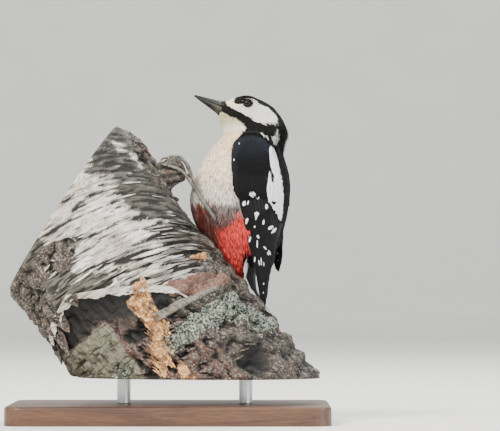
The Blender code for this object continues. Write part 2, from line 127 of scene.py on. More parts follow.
def washed(tree, base, *washes):
    """A colour with others washed over it, each by a pattern, two (place, strength) stops and a colour."""
    for pattern, first, second, colour in washes:
        base = mix(tree, ramp(tree, pattern, first, second), base, colour)
    return base


def math_node(tree, operation, *values):
    return node(tree, "ShaderNodeMath", dict(enumerate(values)), operation=operation).outputs[0]


def times(tree, first, second):
    return math_node(tree, "MULTIPLY", first, second)


def times_plus(tree, first, second, third):
    """The first times the second, plus the third."""
    return math_node(tree, "MULTIPLY_ADD", first, second, third)


def shade_all(tree, colour, level):
    """A colour made lighter or darker by a number."""
    grey = node(tree, "ShaderNodeCombineColor", {0: level, 1: level, 2: level}).outputs[0]
    return mix(tree, 1.0, colour, grey, "MULTIPLY")


def attribute(tree, name, output="Fac"):
    return node(tree, "ShaderNodeAttribute", attribute_name=name).outputs[output]


def parts_of(tree, vector):
    """The three numbers of a place or of a piece's own map."""
    parts = node(tree, "ShaderNodeSeparateXYZ", {"Vector": vector})
    return [parts.outputs[k] for k in "XYZ"]


def joined(tree, *parts):
    return node(tree, "ShaderNodeCombineXYZ", dict(enumerate(parts))).outputs[0]


def own_place(tree):
    """Where a point lies in its object, in metres."""
    return node(tree, "ShaderNodeTexCoord").outputs["Object"]


def stretched(tree, vector, scale):
    return node(tree, "ShaderNodeMapping", {"Vector": vector, "Scale": scale}).outputs[0]


def clouds(tree, vector, size=1.0, detail=3.0, **more):
    """Noise like clouds, from 0 to 1, with blobs of about the given size."""
    links = {"Vector": vector, "Scale": 1 / size, "Detail": detail, **more}
    return node(tree, "ShaderNodeTexNoise", links).outputs["Fac"]


def coloured(tree, shader, colour):
    tree.links.new(colour, shader.inputs["Base Color"])


def bump(tree, shader, height, distance, strength):
    made = node(tree, "ShaderNodeBump", {"Height": height, "Distance": distance, "Strength": strength})
    tree.links.new(made.outputs["Normal"], shader.inputs["Normal"])


print("shader helpers ready")

# %% [markdown]
# Modelling tools work on the active object, so it has to be set first. Meshes made by formula come from
# arrays, which is the quick way to place thousands of points, and they all pass through one function. The
# normals are then turned to face outward, because the shading depends on them.

# %% Helpers for objects and meshes
def activate(obj):
    bpy.ops.object.select_all(action="DESELECT")
    obj.select_set(True)
    bpy.context.view_layer.objects.active = obj


def new_object(name, mesh):
    obj = bpy.data.objects.new(name, mesh)
    bpy.context.scene.collection.objects.link(obj)
    return obj


def mesh_object(name, points, faces, surface=None):
    """A smooth object from arrays of points (in metres) and faces."""
    mesh = bpy.data.meshes.new(name)
    mesh.from_pydata(np.asarray(points).tolist(), [], [tuple(face) for face in faces])
    if surface:
        mesh.materials.append(surface)
    mesh.shade_smooth()
    return new_object(name, mesh)


def dress(obj, surface):
    obj.data.materials.clear()
    obj.data.materials.append(surface)


def facing_out(obj):
    """Turns all faces of a closed mesh outwards."""
    work = bmesh.new()
    work.from_mesh(obj.data)
    bmesh.ops.recalc_face_normals(work, faces=work.faces)
    work.to_mesh(obj.data)
    work.free()


def loft_faces(rows, columns):
    """Faces of a tube of rings; two more points, the middles of its first and last ring, close its ends."""
    i, k = np.meshgrid(np.arange(rows - 1), np.arange(columns), indexing="ij")
    a, b = i * columns + k, i * columns + (k + 1) % columns
    faces = np.stack([a, b, b + columns, a + columns], axis=-1).reshape(-1, 4).tolist()
    end = (rows - 1) * columns
    faces += [(rows * columns, (k + 1) % columns, k) for k in range(columns)]
    return faces + [(rows * columns + 1, end + k, end + (k + 1) % columns) for k in range(columns)]


def paint(obj, name, values):
    """Stores one number (or one colour) at each point."""
    values = np.asarray(values, dtype=np.float32)
    kind, key = ("FLOAT", "value") if values.ndim == 1 else ("FLOAT_VECTOR", "vector")
    obj.data.attributes.new(name, kind, "POINT").data.foreach_set(key, values.ravel())


def points_of(obj):
    flat = np.empty(len(obj.data.vertices) * 3)
    obj.data.vertices.foreach_get("co", flat)
    return flat.reshape(-1, 3)


def set_points(obj, points):
    obj.data.vertices.foreach_set("co", np.asarray(points, dtype=np.float32).ravel())
    obj.data.update()


print("mesh helpers ready")

# %% [markdown]
# Borders on a real animal or a tree are seldom sharp lines. A smooth step goes softly from 0 to 1 between
# two values, a short table gives a size that changes along the body, and a nearest-surface tree measures how
# much room there is to the skin.

# %% Helpers for measures
def smoothstep(low, high, values):
    t = np.clip((np.asarray(values) - low) / (high - low), 0, 1)
    return t * t * (3 - 2 * t)


def read(table, at, column=1):
    """A column of a table, read between its rows at values of its first column."""
    return np.interp(at, table[:, 0], table[:, column])


def normalised(vectors):
    return vectors / np.maximum(np.linalg.norm(vectors, axis=-1, keepdims=True), 1e-9)


def room_to(tree, points, most):
    """How far places are from the nearest surface in a search tree, up to the most that matters."""
    return np.array([tree.find_nearest(p, most)[3] or most for p in points])


print("helpers ready")

# %% [markdown]
# ## Camera and stage
# A long lens from two and a half metres keeps the outline true; from near by, the tail would look small
# beside the wing. The camera stands just above the table and looks almost level at the bird's left side. The
# stage is a pale sweep with no corner, so that nothing distracts from the model, under large soft lights.
# The lens is worked out from the width of the view, so the framing stays when the camera moves nearer.

# %% Camera
bpy.ops.object.camera_add(location=(0.0592, -2.5, 0.105))
camera = bpy.context.object
VIEW_WIDTH, VIEW_CENTRE = 0.370, Vector((0.0592, 0.0, 0.1528))
aim = VIEW_CENTRE - camera.location
camera.rotation_euler = aim.to_track_quat("-Z", "Y").to_euler()
camera.data.sensor_width = 36.0
camera.data.lens = 36.0 * aim.length / VIEW_WIDTH
camera.data.clip_end = 50
bpy.context.scene.camera = camera
print("lens", round(camera.data.lens), "mm")

# %% [markdown]
# A backdrop could be a plane and a wall, but their corner draws a line behind the bird. Paper is bent
# instead: the plane's back edge is extruded along a quarter circle and then straight up. Three disks of
# light follow a portrait studio: a warm key, a cool fill and a light from above and behind that rims the
# feathers.

# %% Pale sweep under and behind the model
SWEEP_START, SWEEP_RADIUS, WALL_HEIGHT = 3.5, 1.2, 4.0
LOOK_AT = Vector((0.02, 0, 0.13))


def build_stage():
    paper, tree, shader = material("pale backdrop paper", 0.9, Base_Color="#dcdcd8")
    grain = node(tree, "ShaderNodeTexNoise", {"Scale": 60.0, "Detail": 3.0}).outputs["Fac"]
    coloured(tree, shader, ramp(tree, grain, (0.35, "#dadad6"), (0.65, "#dededa")))
    bpy.ops.mesh.primitive_plane_add(size=1)
    floor = bpy.context.object
    floor.name = "stage_floor"
    bpy.ops.object.mode_set(mode="EDIT")
    bpy.ops.transform.resize(value=(9.0, 2 * SWEEP_START, 1.0))
    bpy.ops.object.mode_set(mode="OBJECT")
    work = bmesh.new()
    work.from_mesh(floor.data)
    back = [e for e in work.edges if all(v.co.y > 0 for v in e.verts)]
    for angle in np.linspace(0, math.pi / 2, 10)[1:]:
        made = bmesh.ops.extrude_edge_only(work, edges=back)["geom"]
        back = [g for g in made if isinstance(g, bmesh.types.BMEdge) and len(g.link_faces) == 1
                and all(v in made for v in g.verts)]
        ahead, rise = SWEEP_RADIUS * math.sin(angle), SWEEP_RADIUS * (1 - math.cos(angle))
        for v in {v for e in back for v in e.verts}:
            v.co = (v.co.x, SWEEP_START + ahead, rise)
    made = bmesh.ops.extrude_edge_only(work, edges=back)["geom"]
    for v in (g for g in made if isinstance(g, bmesh.types.BMVert)):
        v.co.z += WALL_HEIGHT
    bmesh.ops.recalc_face_normals(work, faces=work.faces)
    work.to_mesh(floor.data)
    work.free()
    floor.data.materials.append(paper)
    floor.data.shade_smooth()


def add_light(name, place, size, power, colour="#ffffff"):
    bpy.ops.object.light_add(type="AREA", location=place)
    light = bpy.context.object
    light.name = name
    light.data.shape = "DISK"
    light.data.size = size
    light.data.energy = power
    light.data.color = linear(colour)[:3]
    light.rotation_euler = (LOOK_AT - light.location).to_track_quat("-Z", "Y").to_euler()


build_stage()
add_light("key_light", (-1.1, -1.5, 1.7), 1.1, 128.0, "#fff6ea")
add_light("fill_light", (1.6, -1.6, 0.8), 1.4, 42.0, "#f2f6ff")
add_light("top_light", (0.3, 0.9, 1.9), 1.2, 52.0)
sky = bpy.data.worlds.new("soft_room")
sky.use_nodes = True
backdrop = sky.node_tree.nodes["Background"].inputs
backdrop["Color"].default_value = linear("#f4f6f8")
backdrop["Strength"].default_value = 1.2
bpy.context.scene.world = sky
print("stage set")

# %% [markdown]
# ## The display stand
# A museum's stand is plain so that nobody looks at it: an oiled walnut board and two turned steel rods that
# go up into the saw cut. The CAD pieces already have the right shape, so they keep it and only get their
# finishes. Walnut grain is a long streak of rings: noise stretched along the board. Turned steel is grey
# with fine rings round the rod.

# %% Walnut and turned steel
def walnut():
    made, tree, shader = material("oiled walnut", 0.42, Coat_Weight=0.15, Coat_Roughness=0.3)
    place = own_place(tree)
    along = stretched(tree, place, (1 / 0.11, 1 / 0.012, 1 / 0.012))
    bands = clouds(tree, along, detail=6.0, Roughness=0.62, Distortion=0.7)
    pores = clouds(tree, stretched(tree, place, (1 / 0.010, 1 / 0.0006, 1 / 0.0006)))
    wood = ramp(tree, bands, (0.30, "#2b1a11"), (0.45, "#4a2f1f"), (0.58, "#5d3d29"), (0.72, "#3a2417"))
    pore = ramp(tree, pores, (0.42, 0.0), (0.56, 1.0))
    coloured(tree, shader, mix(tree, times(tree, pore, 0.35), wood, "#20130c"))
    bump(tree, shader, pores, 0.0002, 0.5)
    return made


def turned_steel():
    made, tree, shader = material("turned steel", 0.28, Base_Color="#b9bbbd", Metallic=1.0)
    rings = clouds(tree, stretched(tree, own_place(tree), (60, 60, 1 / 0.0004)), detail=2.0)
    bump(tree, shader, rings, 0.0001, 0.4)
    return made


def node_object(name):
    return next(o for o in bpy.data.objects if o.type == "MESH" and o.name == name)


dress(node_object("stand_base"), walnut())
steel = turned_steel()
for rod in ("stand_rod_left", "stand_rod_right"):
    dress(node_object(rod), steel)

# %% [markdown]
# ## The bird's own measures
# Everything on the bird is worked out upright and square first, bill towards -X, and then set in its pose:
# the body is turned a little and the head is tilted. To put a marking on the posed bird, its points are
# turned back to the square bird, where both sides are alike and an outline needs to be given only once.

# %% Pose of the bird, both ways
TURN_X, BIRD_Y = 55.0, 10.0
BODY_TURN, HEAD_TURN, HEAD_TILT = 15.0, 5.0, 18.0
BILL_BASE = np.array([38.5, 0.0, 232.2])
BILL_TIP = np.array([17.6, 0.0, 242.4])
HEAD_BACK = (BILL_BASE - BILL_TIP) / np.linalg.norm(BILL_BASE - BILL_TIP)
HEAD_UP = np.array([-HEAD_BACK[2], 0.0, HEAD_BACK[0]])
# Lines across head and neck: how far the body there goes with the head, then front and back (x, z).
SHARE_LINES = ((0.0, (25, 194.5), (86.2, 194)), (0.12, (30, 201), (84, 203)),
               (0.35, (35, 206), (86.6, 214.5)), (0.65, (37.8, 209), (83.6, 224.5)),
               (0.9, (39.2, 210.9), (77.5, 232.6)), (1.0, (39.2, 216), (77.5, 238)))


def turned_about(points, pivot, axis, degrees):
    """Points turned about an axis through a pivot, each by its own angle."""
    angle = np.radians(degrees)[:, None]
    axis = np.asarray(axis) / np.linalg.norm(axis)
    away = points - pivot
    across = np.cross(axis, away)
    along = (away @ axis)[:, None] * axis
    return pivot + along + (away - along) * np.cos(angle) + across * np.sin(angle)


def posed(points, share=0.0, turn_share=1.0):
    """Square bird to posed bird, in millimetres; share is 1 on the head and 0 on the body."""
    points = np.atleast_2d(points).astype(float)
    share = np.broadcast_to(share, len(points))
    tilted = turned_about(points, BILL_BASE, HEAD_BACK, -HEAD_TILT * share)
    turn = (BODY_TURN + (HEAD_TURN - BODY_TURN) * share) * turn_share
    return turned_about(tilted, np.array([TURN_X, 0, 0]), (0, 0, 1), -turn) + (0, BIRD_Y, 0)


def squared(points):
    """Posed bird to square bird; the share is found by trying, as the square place decides it."""
    points = np.atleast_2d(points) - (0, BIRD_Y, 0)
    share = smoothstep(196, 226, points[:, 2])
    for _ in range(10):
        back = turned_about(points, np.array([TURN_X, 0, 0]), (0, 0, 1),
                            BODY_TURN + (HEAD_TURN - BODY_TURN) * share)
        square = turned_about(back, BILL_BASE, HEAD_BACK, HEAD_TILT * share)
        lines = np.array([a[1] + (b[1] - a[1]) * (square[:, 0] - a[0]) / (b[0] - a[0])
                          for _, a, b in SHARE_LINES])
        found = np.zeros(len(points))
        for (low, *_), (high, *_), z0, z1 in zip(SHARE_LINES, SHARE_LINES[1:], lines, lines[1:]):
            found += (high - low) * np.clip((square[:, 2] - z0) / np.maximum(z1 - z0, 0.1), 0, 1)
        share = 0.5 * share + 0.5 * found
    return square


test = np.array([[60.0, 12.0, 232.0], [50.0, -20.0, 170.0]])
error = np.abs(squared(posed(test, np.array([1.0, 0.0]))) - test).max()
print("pose there and back, off by", error.round(3), "mm")

# %% [markdown]
# ## Markings
# The bird is a female: black crown with no red nape, white forehead and cheek, a black stripe that runs
# from the bill under the cheek and joins the nape, a white patch on the side of the neck, and a black
# shoulder. Below it is buff at the breast, grey-white on the belly and red under the tail. Some colours are
# painted shade: the white neck patch is painted grey, the white throat under the chin greenish grey, and
# the front of the red vent dark red. Each marking is an outline seen from the side, kept as a few points,
# and a colour. Skin and coat ask the same function for their colour.

# %% Outlines of the markings on the square bird, x and z in millimetres
# Three colours here are painted shade: a grey for the white neck patch, a greenish grey for the white throat
# under the chin, and a dark red for the front of the red vent.
CREAM, BUFF, BREAST, BELLY, GREY = "#f3e6d4", "#fbd9ba", "#ffe5cb", "#f1e8dc", "#8e8986"
FOREHEAD, THIGH, SHADED_NECK_WHITE = "#f4e0d0", "#6b6461", "#9fa2a0"
WHITE, SHADED_THROAT, RED, SHADED_RED, BLACK = "#e4e3df", "#bdb994", "#ef544e", "#6d312a", "#060708"
CROWN = ((49.4, 262), (48.6, 239.0), (46.9, 235.0), (48.6, 232.0), (52.6, 231.6), (53.6, 234.0),
         (53.4, 236.8), (56.4, 237.8), (60.4, 237.2), (63.0, 235.9), (65.4, 233.0), (73.0, 230.4),
         (78.6, 226.4), (81.2, 221.4), (82.0, 216.5), (82.0, 211.0), (81.8, 203.0), (100, 196), (100, 262))
BAR = ((38.0, 233.6), (43.6, 231.2), (48.4, 226.7), (53.9, 223.4), (60.2, 220.6), (67.0, 217.9),
       (72.9, 216.8), (78.1, 217.8), (82.6, 217.8), (85.0, 214.0), (84.8, 210.8), (81.5, 212.3),
       (78.6, 207.8), (71, 203), (58, 203), (56.5, 209.0), (58.4, 212.6), (58.2, 214.6), (54.2, 216.8),
       (50.4, 218.9), (45.2, 221.4), (41.4, 224.6), (38.0, 227.6))
# The white patch on the side of the neck is painted grey, as painted shade.
NECK_PATCH = ((78.6, 206.4), (80.4, 209.8), (82.2, 213.0), (83.6, 211.4), (83.4, 205.6), (82.2, 202.6))
STREAK = ((71.0, 211.0), (73.6, 209.9), (77.6, 207.0), (76.6, 206.4))
THROAT_PATCH = ((34.0, 229.0), (38.0, 227.6), (41.4, 224.6), (45.2, 221.4), (50.4, 218.9), (54.2, 216.8),
                (58.2, 214.6), (58.4, 212.6), (52.0, 212.4), (42.7, 211.6), (30.0, 210.0))
PATCHES = ((BAR, BLACK), (CROWN, BLACK), (NECK_PATCH, SHADED_NECK_WHITE), (STREAK, WHITE))


def nearest_distance(tree, points):
    return np.array([tree.find_nearest(p)[3] for p in points])


def inside(outline, x, z):
    """True for the points inside an outline."""
    hit = np.zeros(len(x), bool)
    for (x0, z0), (x1, z1) in zip(outline, outline[1:] + outline[:1]):
        crosses = (z0 > z) != (z1 > z)
        hit ^= crosses & (x < x0 + (x1 - x0) * (z - z0) / ((z1 - z0) or 1e-9))
    return hit


def blended(first, second, share):
    return first + (second - first) * np.asarray(share)[:, None]


def tone(hex_colour):
    return np.array(linear(hex_colour)[:3])


def below_colour(x, y, z):
    """Colours of breast, belly and vent, from buff through white and grey to red, with painted shade on the
    front red.
    """
    colour = tone(BUFF)
    for shade, share in ((BREAST, smoothstep(206, 186, z)), (BELLY, smoothstep(182, 166, z)),
                         (GREY, smoothstep(166, 150, z) * 0.7),
                         (GREY, smoothstep(170, 156, z) * smoothstep(56, 66, x) * 0.6)):
        colour = blended(colour, tone(shade), share)
    # Painted shade: at the front the vent's red is dark red, mixed by a pattern with the grey of thigh
    # fluff.
    front = smoothstep(45, 38, x)
    red = smoothstep(1.5, -1.5, z - 150 - 8 * front + 2.0 * np.sin(x * 0.9) + 1.5 * np.sin(y * 1.3))
    fluff = smoothstep(0.1, 0.8, np.sin(x * 1.4 + z * 0.5) * np.sin(y * 1.1))
    shaded_red_and_fluff = blended(tone(SHADED_RED), tone(THIGH), 0.9 * fluff)
    return blended(colour, blended(tone(RED), shaded_red_and_fluff, front), red)


def marking(points, ragged=0.0):
    """Colour of the plumage on the posed bird, in linear light; ragged blurs the borders, in mm."""
    square = squared(points) + random.normal(0, 1, (len(points), 3)) * ragged
    x, y, z = square[:, 0], np.abs(square[:, 1]), square[:, 2]
    colour = below_colour(x, y, z)
    under_tail = (z < 121) & (x > 57.5)
    back = (x > 66 + (z < 122) * -2) & (z < 206)
    shoulder = (x > 59.5 - 0.25 * (z - 196)) & (z > 192) & (z < 212)
    colour[under_tail | back | shoulder] = tone(BLACK)
    thigh = blended(colour, tone(THIGH), smoothstep(6.5, 3.0, nearest_distance(thigh_tree, points)) * 0.9)
    colour = np.where((z < 158)[:, None], thigh, colour)
    throat = inside(THROAT_PATCH, x, z)
    # Painted shade: the throat under the chin is painted greenish grey, fading to cream lower down.
    colour[throat] = tone(SHADED_THROAT)
    throat_low = throat & (z < 219)
    colour[throat_low] = blended(tone(SHADED_THROAT), tone(CREAM), smoothstep(219, 213, z[throat_low]))
    cheek = (z > 212) & ~throat
    colour[cheek] = blended(tone(FOREHEAD), tone(WHITE), smoothstep(47, 53, x[cheek]))
    colour[cheek & (x < 42.6 - 0.35 * (z - 232)) & (z > 227)] = tone(BLACK)
    streaky = throat & ~throat_low & (np.sin(x * 2.1 + 0.6 * z) * np.sin(z * 1.1 - x) > 0.72)
    colour[streaky] = colour[streaky] * 0.35
    for outline, shade in PATCHES:
        colour[inside(outline, x, z)] = tone(shade)
    return colour


print("outlined patches:", len(PATCHES) + 1)

# %% [markdown]
# ## Skin
# One skin covers head, neck, body, thighs, the arms of the folded wings and the feet. Copies of the frame's
# solids are grown a little so that they run together, remeshed into one closed surface, smoothed, and drawn
# in again by the depth of the coat. The feet are remeshed much finer, because a bird's foot has no feathers
# and shows its scales, and then joined to the body at the heel.

# %% One body from the flesh solids
def merged_copy(names, new_name):
    """A joined copy of frame nodes with its points merged."""
    work = bmesh.new()
    for name in names:
        work.from_mesh(node_object(name).data)
    bmesh.ops.remove_doubles(work, verts=work.verts, dist=0.00002)
    bmesh.ops.recalc_face_normals(work, faces=work.faces)
    mesh = bpy.data.meshes.new(new_name)
    work.to_mesh(mesh)
    work.free()
    return new_object(new_name, mesh)


def normals_of(obj):
    obj.data.update()
    flat = np.empty(len(obj.data.vertices) * 3, dtype=np.float32)
    obj.data.vertex_normals.foreach_get("vector", flat)
    return flat.reshape(-1, 3).astype(float)


def grow(obj, distance):
    set_points(obj, points_of(obj) + normals_of(obj) * np.reshape(distance, (-1, 1)))


def apply_modifier(obj, kind, **settings):
    activate(obj)
    modifier = obj.modifiers.new(kind.lower(), kind)
    for name, value in settings.items():
        setattr(modifier, name, value)
    bpy.ops.object.modifier_apply(modifier=modifier.name)


def cut_below(obj, height):
    """Removes what is below a height and closes the cut."""
    work = bmesh.new()
    work.from_mesh(obj.data)
    geometry = list(work.verts) + list(work.edges) + list(work.faces)
    cut = bmesh.ops.bisect_plane(work, geom=geometry, plane_co=(0, 0, height), plane_no=(0, 0, 1),
                                 clear_inner=True)
    rim = [g for g in cut["geom_cut"] if isinstance(g, bmesh.types.BMEdge)]
    bmesh.ops.edgeloop_fill(work, edges=rim)
    work.to_mesh(obj.data)
    work.free()


def tree_of(obj):
    """A search tree of an object, in millimetres."""
    faces = [tuple(p.vertices) for p in obj.data.polygons]
    return BVHTree.FromPolygons((points_of(obj) / MM).tolist(), faces)


def frame_tree(*names):
    """A search tree of frame nodes, in millimetres."""
    copy = merged_copy(names, "copy")
    tree = tree_of(copy)
    bpy.data.objects.remove(copy)
    return tree


BODY_NODES = ("head", "neck", "trunk", "left_thigh", "right_thigh")
WINGS = (("left", -1), ("right", 1))
WING_ARM_END = {"left": 152.0, "right": 163.0}
GROWN = 1.6
body_cad = frame_tree(*BODY_NODES)
thigh_tree = frame_tree("left_thigh", "right_thigh")
flesh = [merged_copy((name,), "flesh " + name) for name in BODY_NODES]
for side, _ in WINGS:
    arm = merged_copy((side + "_wing",), "flesh arm")
    cut_below(arm, WING_ARM_END[side] * MM)
    flesh.append(arm)
skin = flesh[0]
skin.name = "skin"
activate(skin)
for obj in flesh:
    grow(obj, GROWN * MM)
    obj.select_set(True)
bpy.ops.object.join()
apply_modifier(skin, "REMESH", mode="VOXEL", voxel_size=0.95 * MM)
apply_modifier(skin, "SMOOTH", factor=0.5, iterations=6)
print("skin faces", len(skin.data.polygons))

# %% [markdown]
# A voxel remesh closes all gaps but leaves a body as thick as its plumage. The feathers need that room, so
# each point moves in along its normal by the depth of the coat there: over two millimetres on the breast,
# about one on the face and the wings' arms. The brow is left standing a little, and a socket is pressed in
# round each eye.

# %% Draw the skin in by the depth of the coat
EYE_BACK, EYE_UP, EYE_OUT, EYE_RADIUS, EYE_SUNK = 15.9, 9.2, 9.1, 3.9, 0.2
BROW, BROW_UP, BROW_HALF_LONG, BROW_HALF_HIGH = 2.4, 14.2, 7.5, 3.4
WING_COAT, KEPT_PROUD = 0.9, 0.25
SOCKET_RADIUS = 6.6
wing_cad = {side: frame_tree(side + "_wing") for side, _ in WINGS}


def head_place(back, up, out):
    """A place on the posed head, measured from the bill's base along the head's own axes."""
    return posed(BILL_BASE + HEAD_BACK * back + HEAD_UP * up + np.array([0, out, 0]), 1.0)[0]


eyes = {side: head_place(EYE_BACK, EYE_UP, hand * (EYE_OUT - EYE_SUNK)) for side, hand in WINGS}
eye_ways = {side: normalised(head_place(EYE_BACK, EYE_UP + 0.1, hand * (EYE_OUT + 0.8)) - eyes[side])
            for side, hand in WINGS}
bill_root = head_place(0, 0, 0)


def on_wing(points):
    """True where a wing is nearer than the body."""
    wings = np.minimum(*(nearest_distance(wing_cad[side], points) for side, _ in WINGS))
    return wings < nearest_distance(body_cad, points) - 0.2


def coat_depth(points):
    """How thick the plumage lies, in millimetres, at places on the posed bird."""
    height = squared(points)[:, 2]
    depth = np.interp(height, (190, 202, 214, 222), (2.5, 2.1, 1.6, 1.2))
    from_bill = np.linalg.norm(points - bill_root, axis=1)
    return np.minimum(depth, np.interp(from_bill, (5, 16), (0.6, 1.3)) + (height < 212) * 5)


def seen_by_eye(points, side):
    """How far out places are along an eye's line of sight, and how far from that line."""
    away = points - eyes[side]
    depth = away @ eye_ways[side]
    return depth, np.linalg.norm(away - depth[:, None] * eye_ways[side], axis=1)


def from_eye(points):
    """Distance from the middle of the nearer eye, seen along its own line of sight."""
    nearest = np.full(len(points), 99.0)
    for side, _ in WINGS:
        depth, flat = seen_by_eye(points, side)
        nearest = np.where(depth > -3, np.minimum(nearest, flat), nearest)
    return nearest


def brow(points):
    """How far the brow over the eyes stands out, in millimetres."""
    from_base = squared(points) - BILL_BASE
    back, up, out = from_base @ HEAD_BACK, from_base @ HEAD_UP, np.abs(from_base[:, 1])
    over_eye = np.exp(-(((back - EYE_BACK) / BROW_HALF_LONG) ** 2)) * np.exp(
        -(((up - BROW_UP) / BROW_HALF_HIGH) ** 2))
    return BROW * over_eye * smoothstep(1.0, 5.0, out)


places = points_of(skin) / MM
depth = np.where(on_wing(places), WING_COAT, coat_depth(places))
left_half = (places - bill_root) @ (eyes["left"] - eyes["right"]) > 0
brow_ways = [normalised(eye_ways[side] * 0.8 + HEAD_UP * 0.6) for side, _ in WINGS]
lifted = np.where(left_half[:, None], *brow_ways) * brow(places)[:, None]
grow(skin, -(GROWN - KEPT_PROUD + depth) * MM)
set_points(skin, points_of(skin) + lifted * MM)
apply_modifier(skin, "SMOOTH", factor=0.5, iterations=3)
places = points_of(skin) / MM
for side, _ in WINGS:
    depth, flat = seen_by_eye(places, side)
    limit = 0.7 + 3.4 * smoothstep(3.6, SOCKET_RADIUS, flat)
    sunk = np.where((flat < SOCKET_RADIUS) & (depth > limit), depth - limit, 0)
    places = places - sunk[:, None] * eye_ways[side]
set_points(skin, places * MM)
print("skin box", [round(v * 1000, 1) for v in skin.dimensions])

# %% [markdown]
# A woodpecker's toes are covered in broad scales, one behind the other. Sculpting each one is slow; here a
# finer remesh gives the foot enough points, and they move in and out in rings counted from the ball of the
# foot. A boolean union then grows the foot into the leg, so that there is one skin and no seam.

# %% Scaly feet, remeshed finely and joined to the body
BALLS = {"left": np.array([22.6, -12.6, 166.0]), "right": np.array([22.4, 35.4, 138.6])}
SCALE_LENGTH, SCALE_DEPTH, PEBBLE_DEPTH = 1.25, 0.11, 0.04


def fractal(points, size, octaves):
    """Cloud-like noise at each point, about -1 to 1, with blobs of the given size."""
    return np.array([noise.fractal(Vector(p) / size, 0.9, 2.0, octaves) for p in points])


for side, _ in WINGS:
    foot = merged_copy((side + "_foot",), side + " foot flesh")
    apply_modifier(foot, "REMESH", mode="VOXEL", voxel_size=0.27 * MM)
    apply_modifier(foot, "SMOOTH", factor=0.5, iterations=4)
    places = points_of(foot) / MM
    along = np.linalg.norm(places - BALLS[side], axis=1)
    bands = np.abs(np.sin(np.pi * along / SCALE_LENGTH)) ** 0.5
    grow(foot, (SCALE_DEPTH * (bands - 0.6) + PEBBLE_DEPTH * fractal(places, 0.7, 2) + 0.1) * MM)
    apply_modifier(skin, "BOOLEAN", operation="UNION", solver="EXACT", object=foot)
    bpy.data.objects.remove(foot)
skin.data.shade_smooth()
print("skin with feet:", len(skin.data.polygons), "faces")

# %% [markdown]
# Under feathers a bird's skin is hidden, but between them its colour must not flash, so the skin carries
# the same markings, a shade darker like the downy bases of the feathers. Where the feet begin it turns to
# grey scales: small hard plates, slightly glossy, darker in the grooves.

# %% Skin material
def skin_material():
    made, tree, shader = material("bird skin and foot scales", 0.6)
    place = own_place(tree)
    down = clouds(tree, place, 0.0015)
    worn = clouds(tree, place, 0.004)
    pebble = node(tree, "ShaderNodeTexVoronoi", {"Vector": place, "Scale": 1 / 0.0009}).outputs["Distance"]
    downy = ramp(tree, down, (0.3, 0.86), (0.7, 1.0))
    plumage = mix(tree, 1.0, attribute(tree, "tint", "Color"), downy, "MULTIPLY")
    scales = washed(tree, "#5b5953", (pebble, (0.25, 0.0), (0.6, 1.0), "#302f2c"),
                    (worn, (0.4, 0.0), (0.65, 0.6), "#7a786f"))
    foot = attribute(tree, "foot")
    coloured(tree, shader, mix(tree, foot, plumage, scales))
    plug(tree, shader.inputs["Roughness"], times_plus(tree, foot, -0.35, 0.85))
    bump(tree, shader, pebble, 0.0001, 0.6)
    return made


dress(skin, skin_material())
places = points_of(skin) / MM
foot_trees = [frame_tree(side + "_foot") for side, _ in WINGS]


def from_feet(points):
    return np.minimum(*(nearest_distance(tree, points) for tree in foot_trees))


paint(skin, "foot", smoothstep(0.9, 0.3, from_feet(places)))
skin_tint = marking(places)
skin_tint[on_wing(places)] = tone(BLACK)
skin_tint = blended(skin_tint, tone("#0f0d0f"), smoothstep(4.6, 4.1, from_eye(places)))
paint(skin, "tint", skin_tint * 0.92)
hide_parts(*BODY_NODES, "left_foot", "right_foot")
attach(skin, "root")
skin_tree = tree_of(skin)
print("skin painted")

# %% [markdown]
# ## How a small feather is made
# The whole coat is thousands of small closed vanes. Each starts at a root in the skin and is carried along
# the lie of the plumage in steps, keeping close to the skin, while it rises to the coat's outer surface.
# Every step has four points: the two edges, the shaft on top and one below, so the vane is a thin roof and
# not a flat card. Making them as arrays is far quicker than one operator for each feather. Each feather
# keeps its colour, its own place across and along, and a patch of its own on a map of the skin for baking.

# %% Feather arrays
BAKE_PATCH = 0.003  # side of a feather's own patch on the map, which is 1 wide


def lie(points):
    """The way feathers lie at places on the posed bird: back from the bill, then down the body."""
    square = squared(points)
    away = normalised(points - bill_root)
    share = smoothstep(205, 226, square[:, 2]) * (1 - 0.85 * smoothstep(70, 83, square[:, 0]))
    way = normalised(away * share[:, None] + np.array([0.04, 0, -1]) * (1 - share)[:, None])
    for eye in eyes.values():
        out = points - eye
        distance = np.linalg.norm(out, axis=1)[:, None]
        out = out / distance
        inward = np.minimum((way * out).sum(1, keepdims=True), 0)
        way = way - out * inward * smoothstep(9.5, 6.0, distance)
    return normalised(way)


def flattened(ways, normals):
    """Ways turned to lie along a surface."""
    return normalised(ways - normals * (ways * normals).sum(1, keepdims=True))


def carried(tree, roots, normals, ways, lengths, steps):
    """Stations of each feather along a surface: places, normals and ways, one array for each step."""
    places, out, way = [roots], [normals], [flattened(ways, normals)]
    done = 0.0
    for step in steps:
        ahead = places[-1] + way[-1] * (lengths * (step - done))[:, None]
        hits = [tree.find_nearest(p) for p in ahead]
        places.append(np.array([h[0] for h in hits]))
        out.append(normalised(0.5 * out[-1] + 0.5 * np.array([h[1] for h in hits])))
        way.append(flattened(way[-1], out[-1]))
        done = step
    return places, out, way


def bake_map(mesh, corner_points, places):
    """Gives each corner of each face its point's place on the map that colours are baked to."""
    layer = mesh.uv_layers.new(name="OFBake")
    layer.data.foreach_set("uv", places[corner_points].astype(np.float32).ravel())


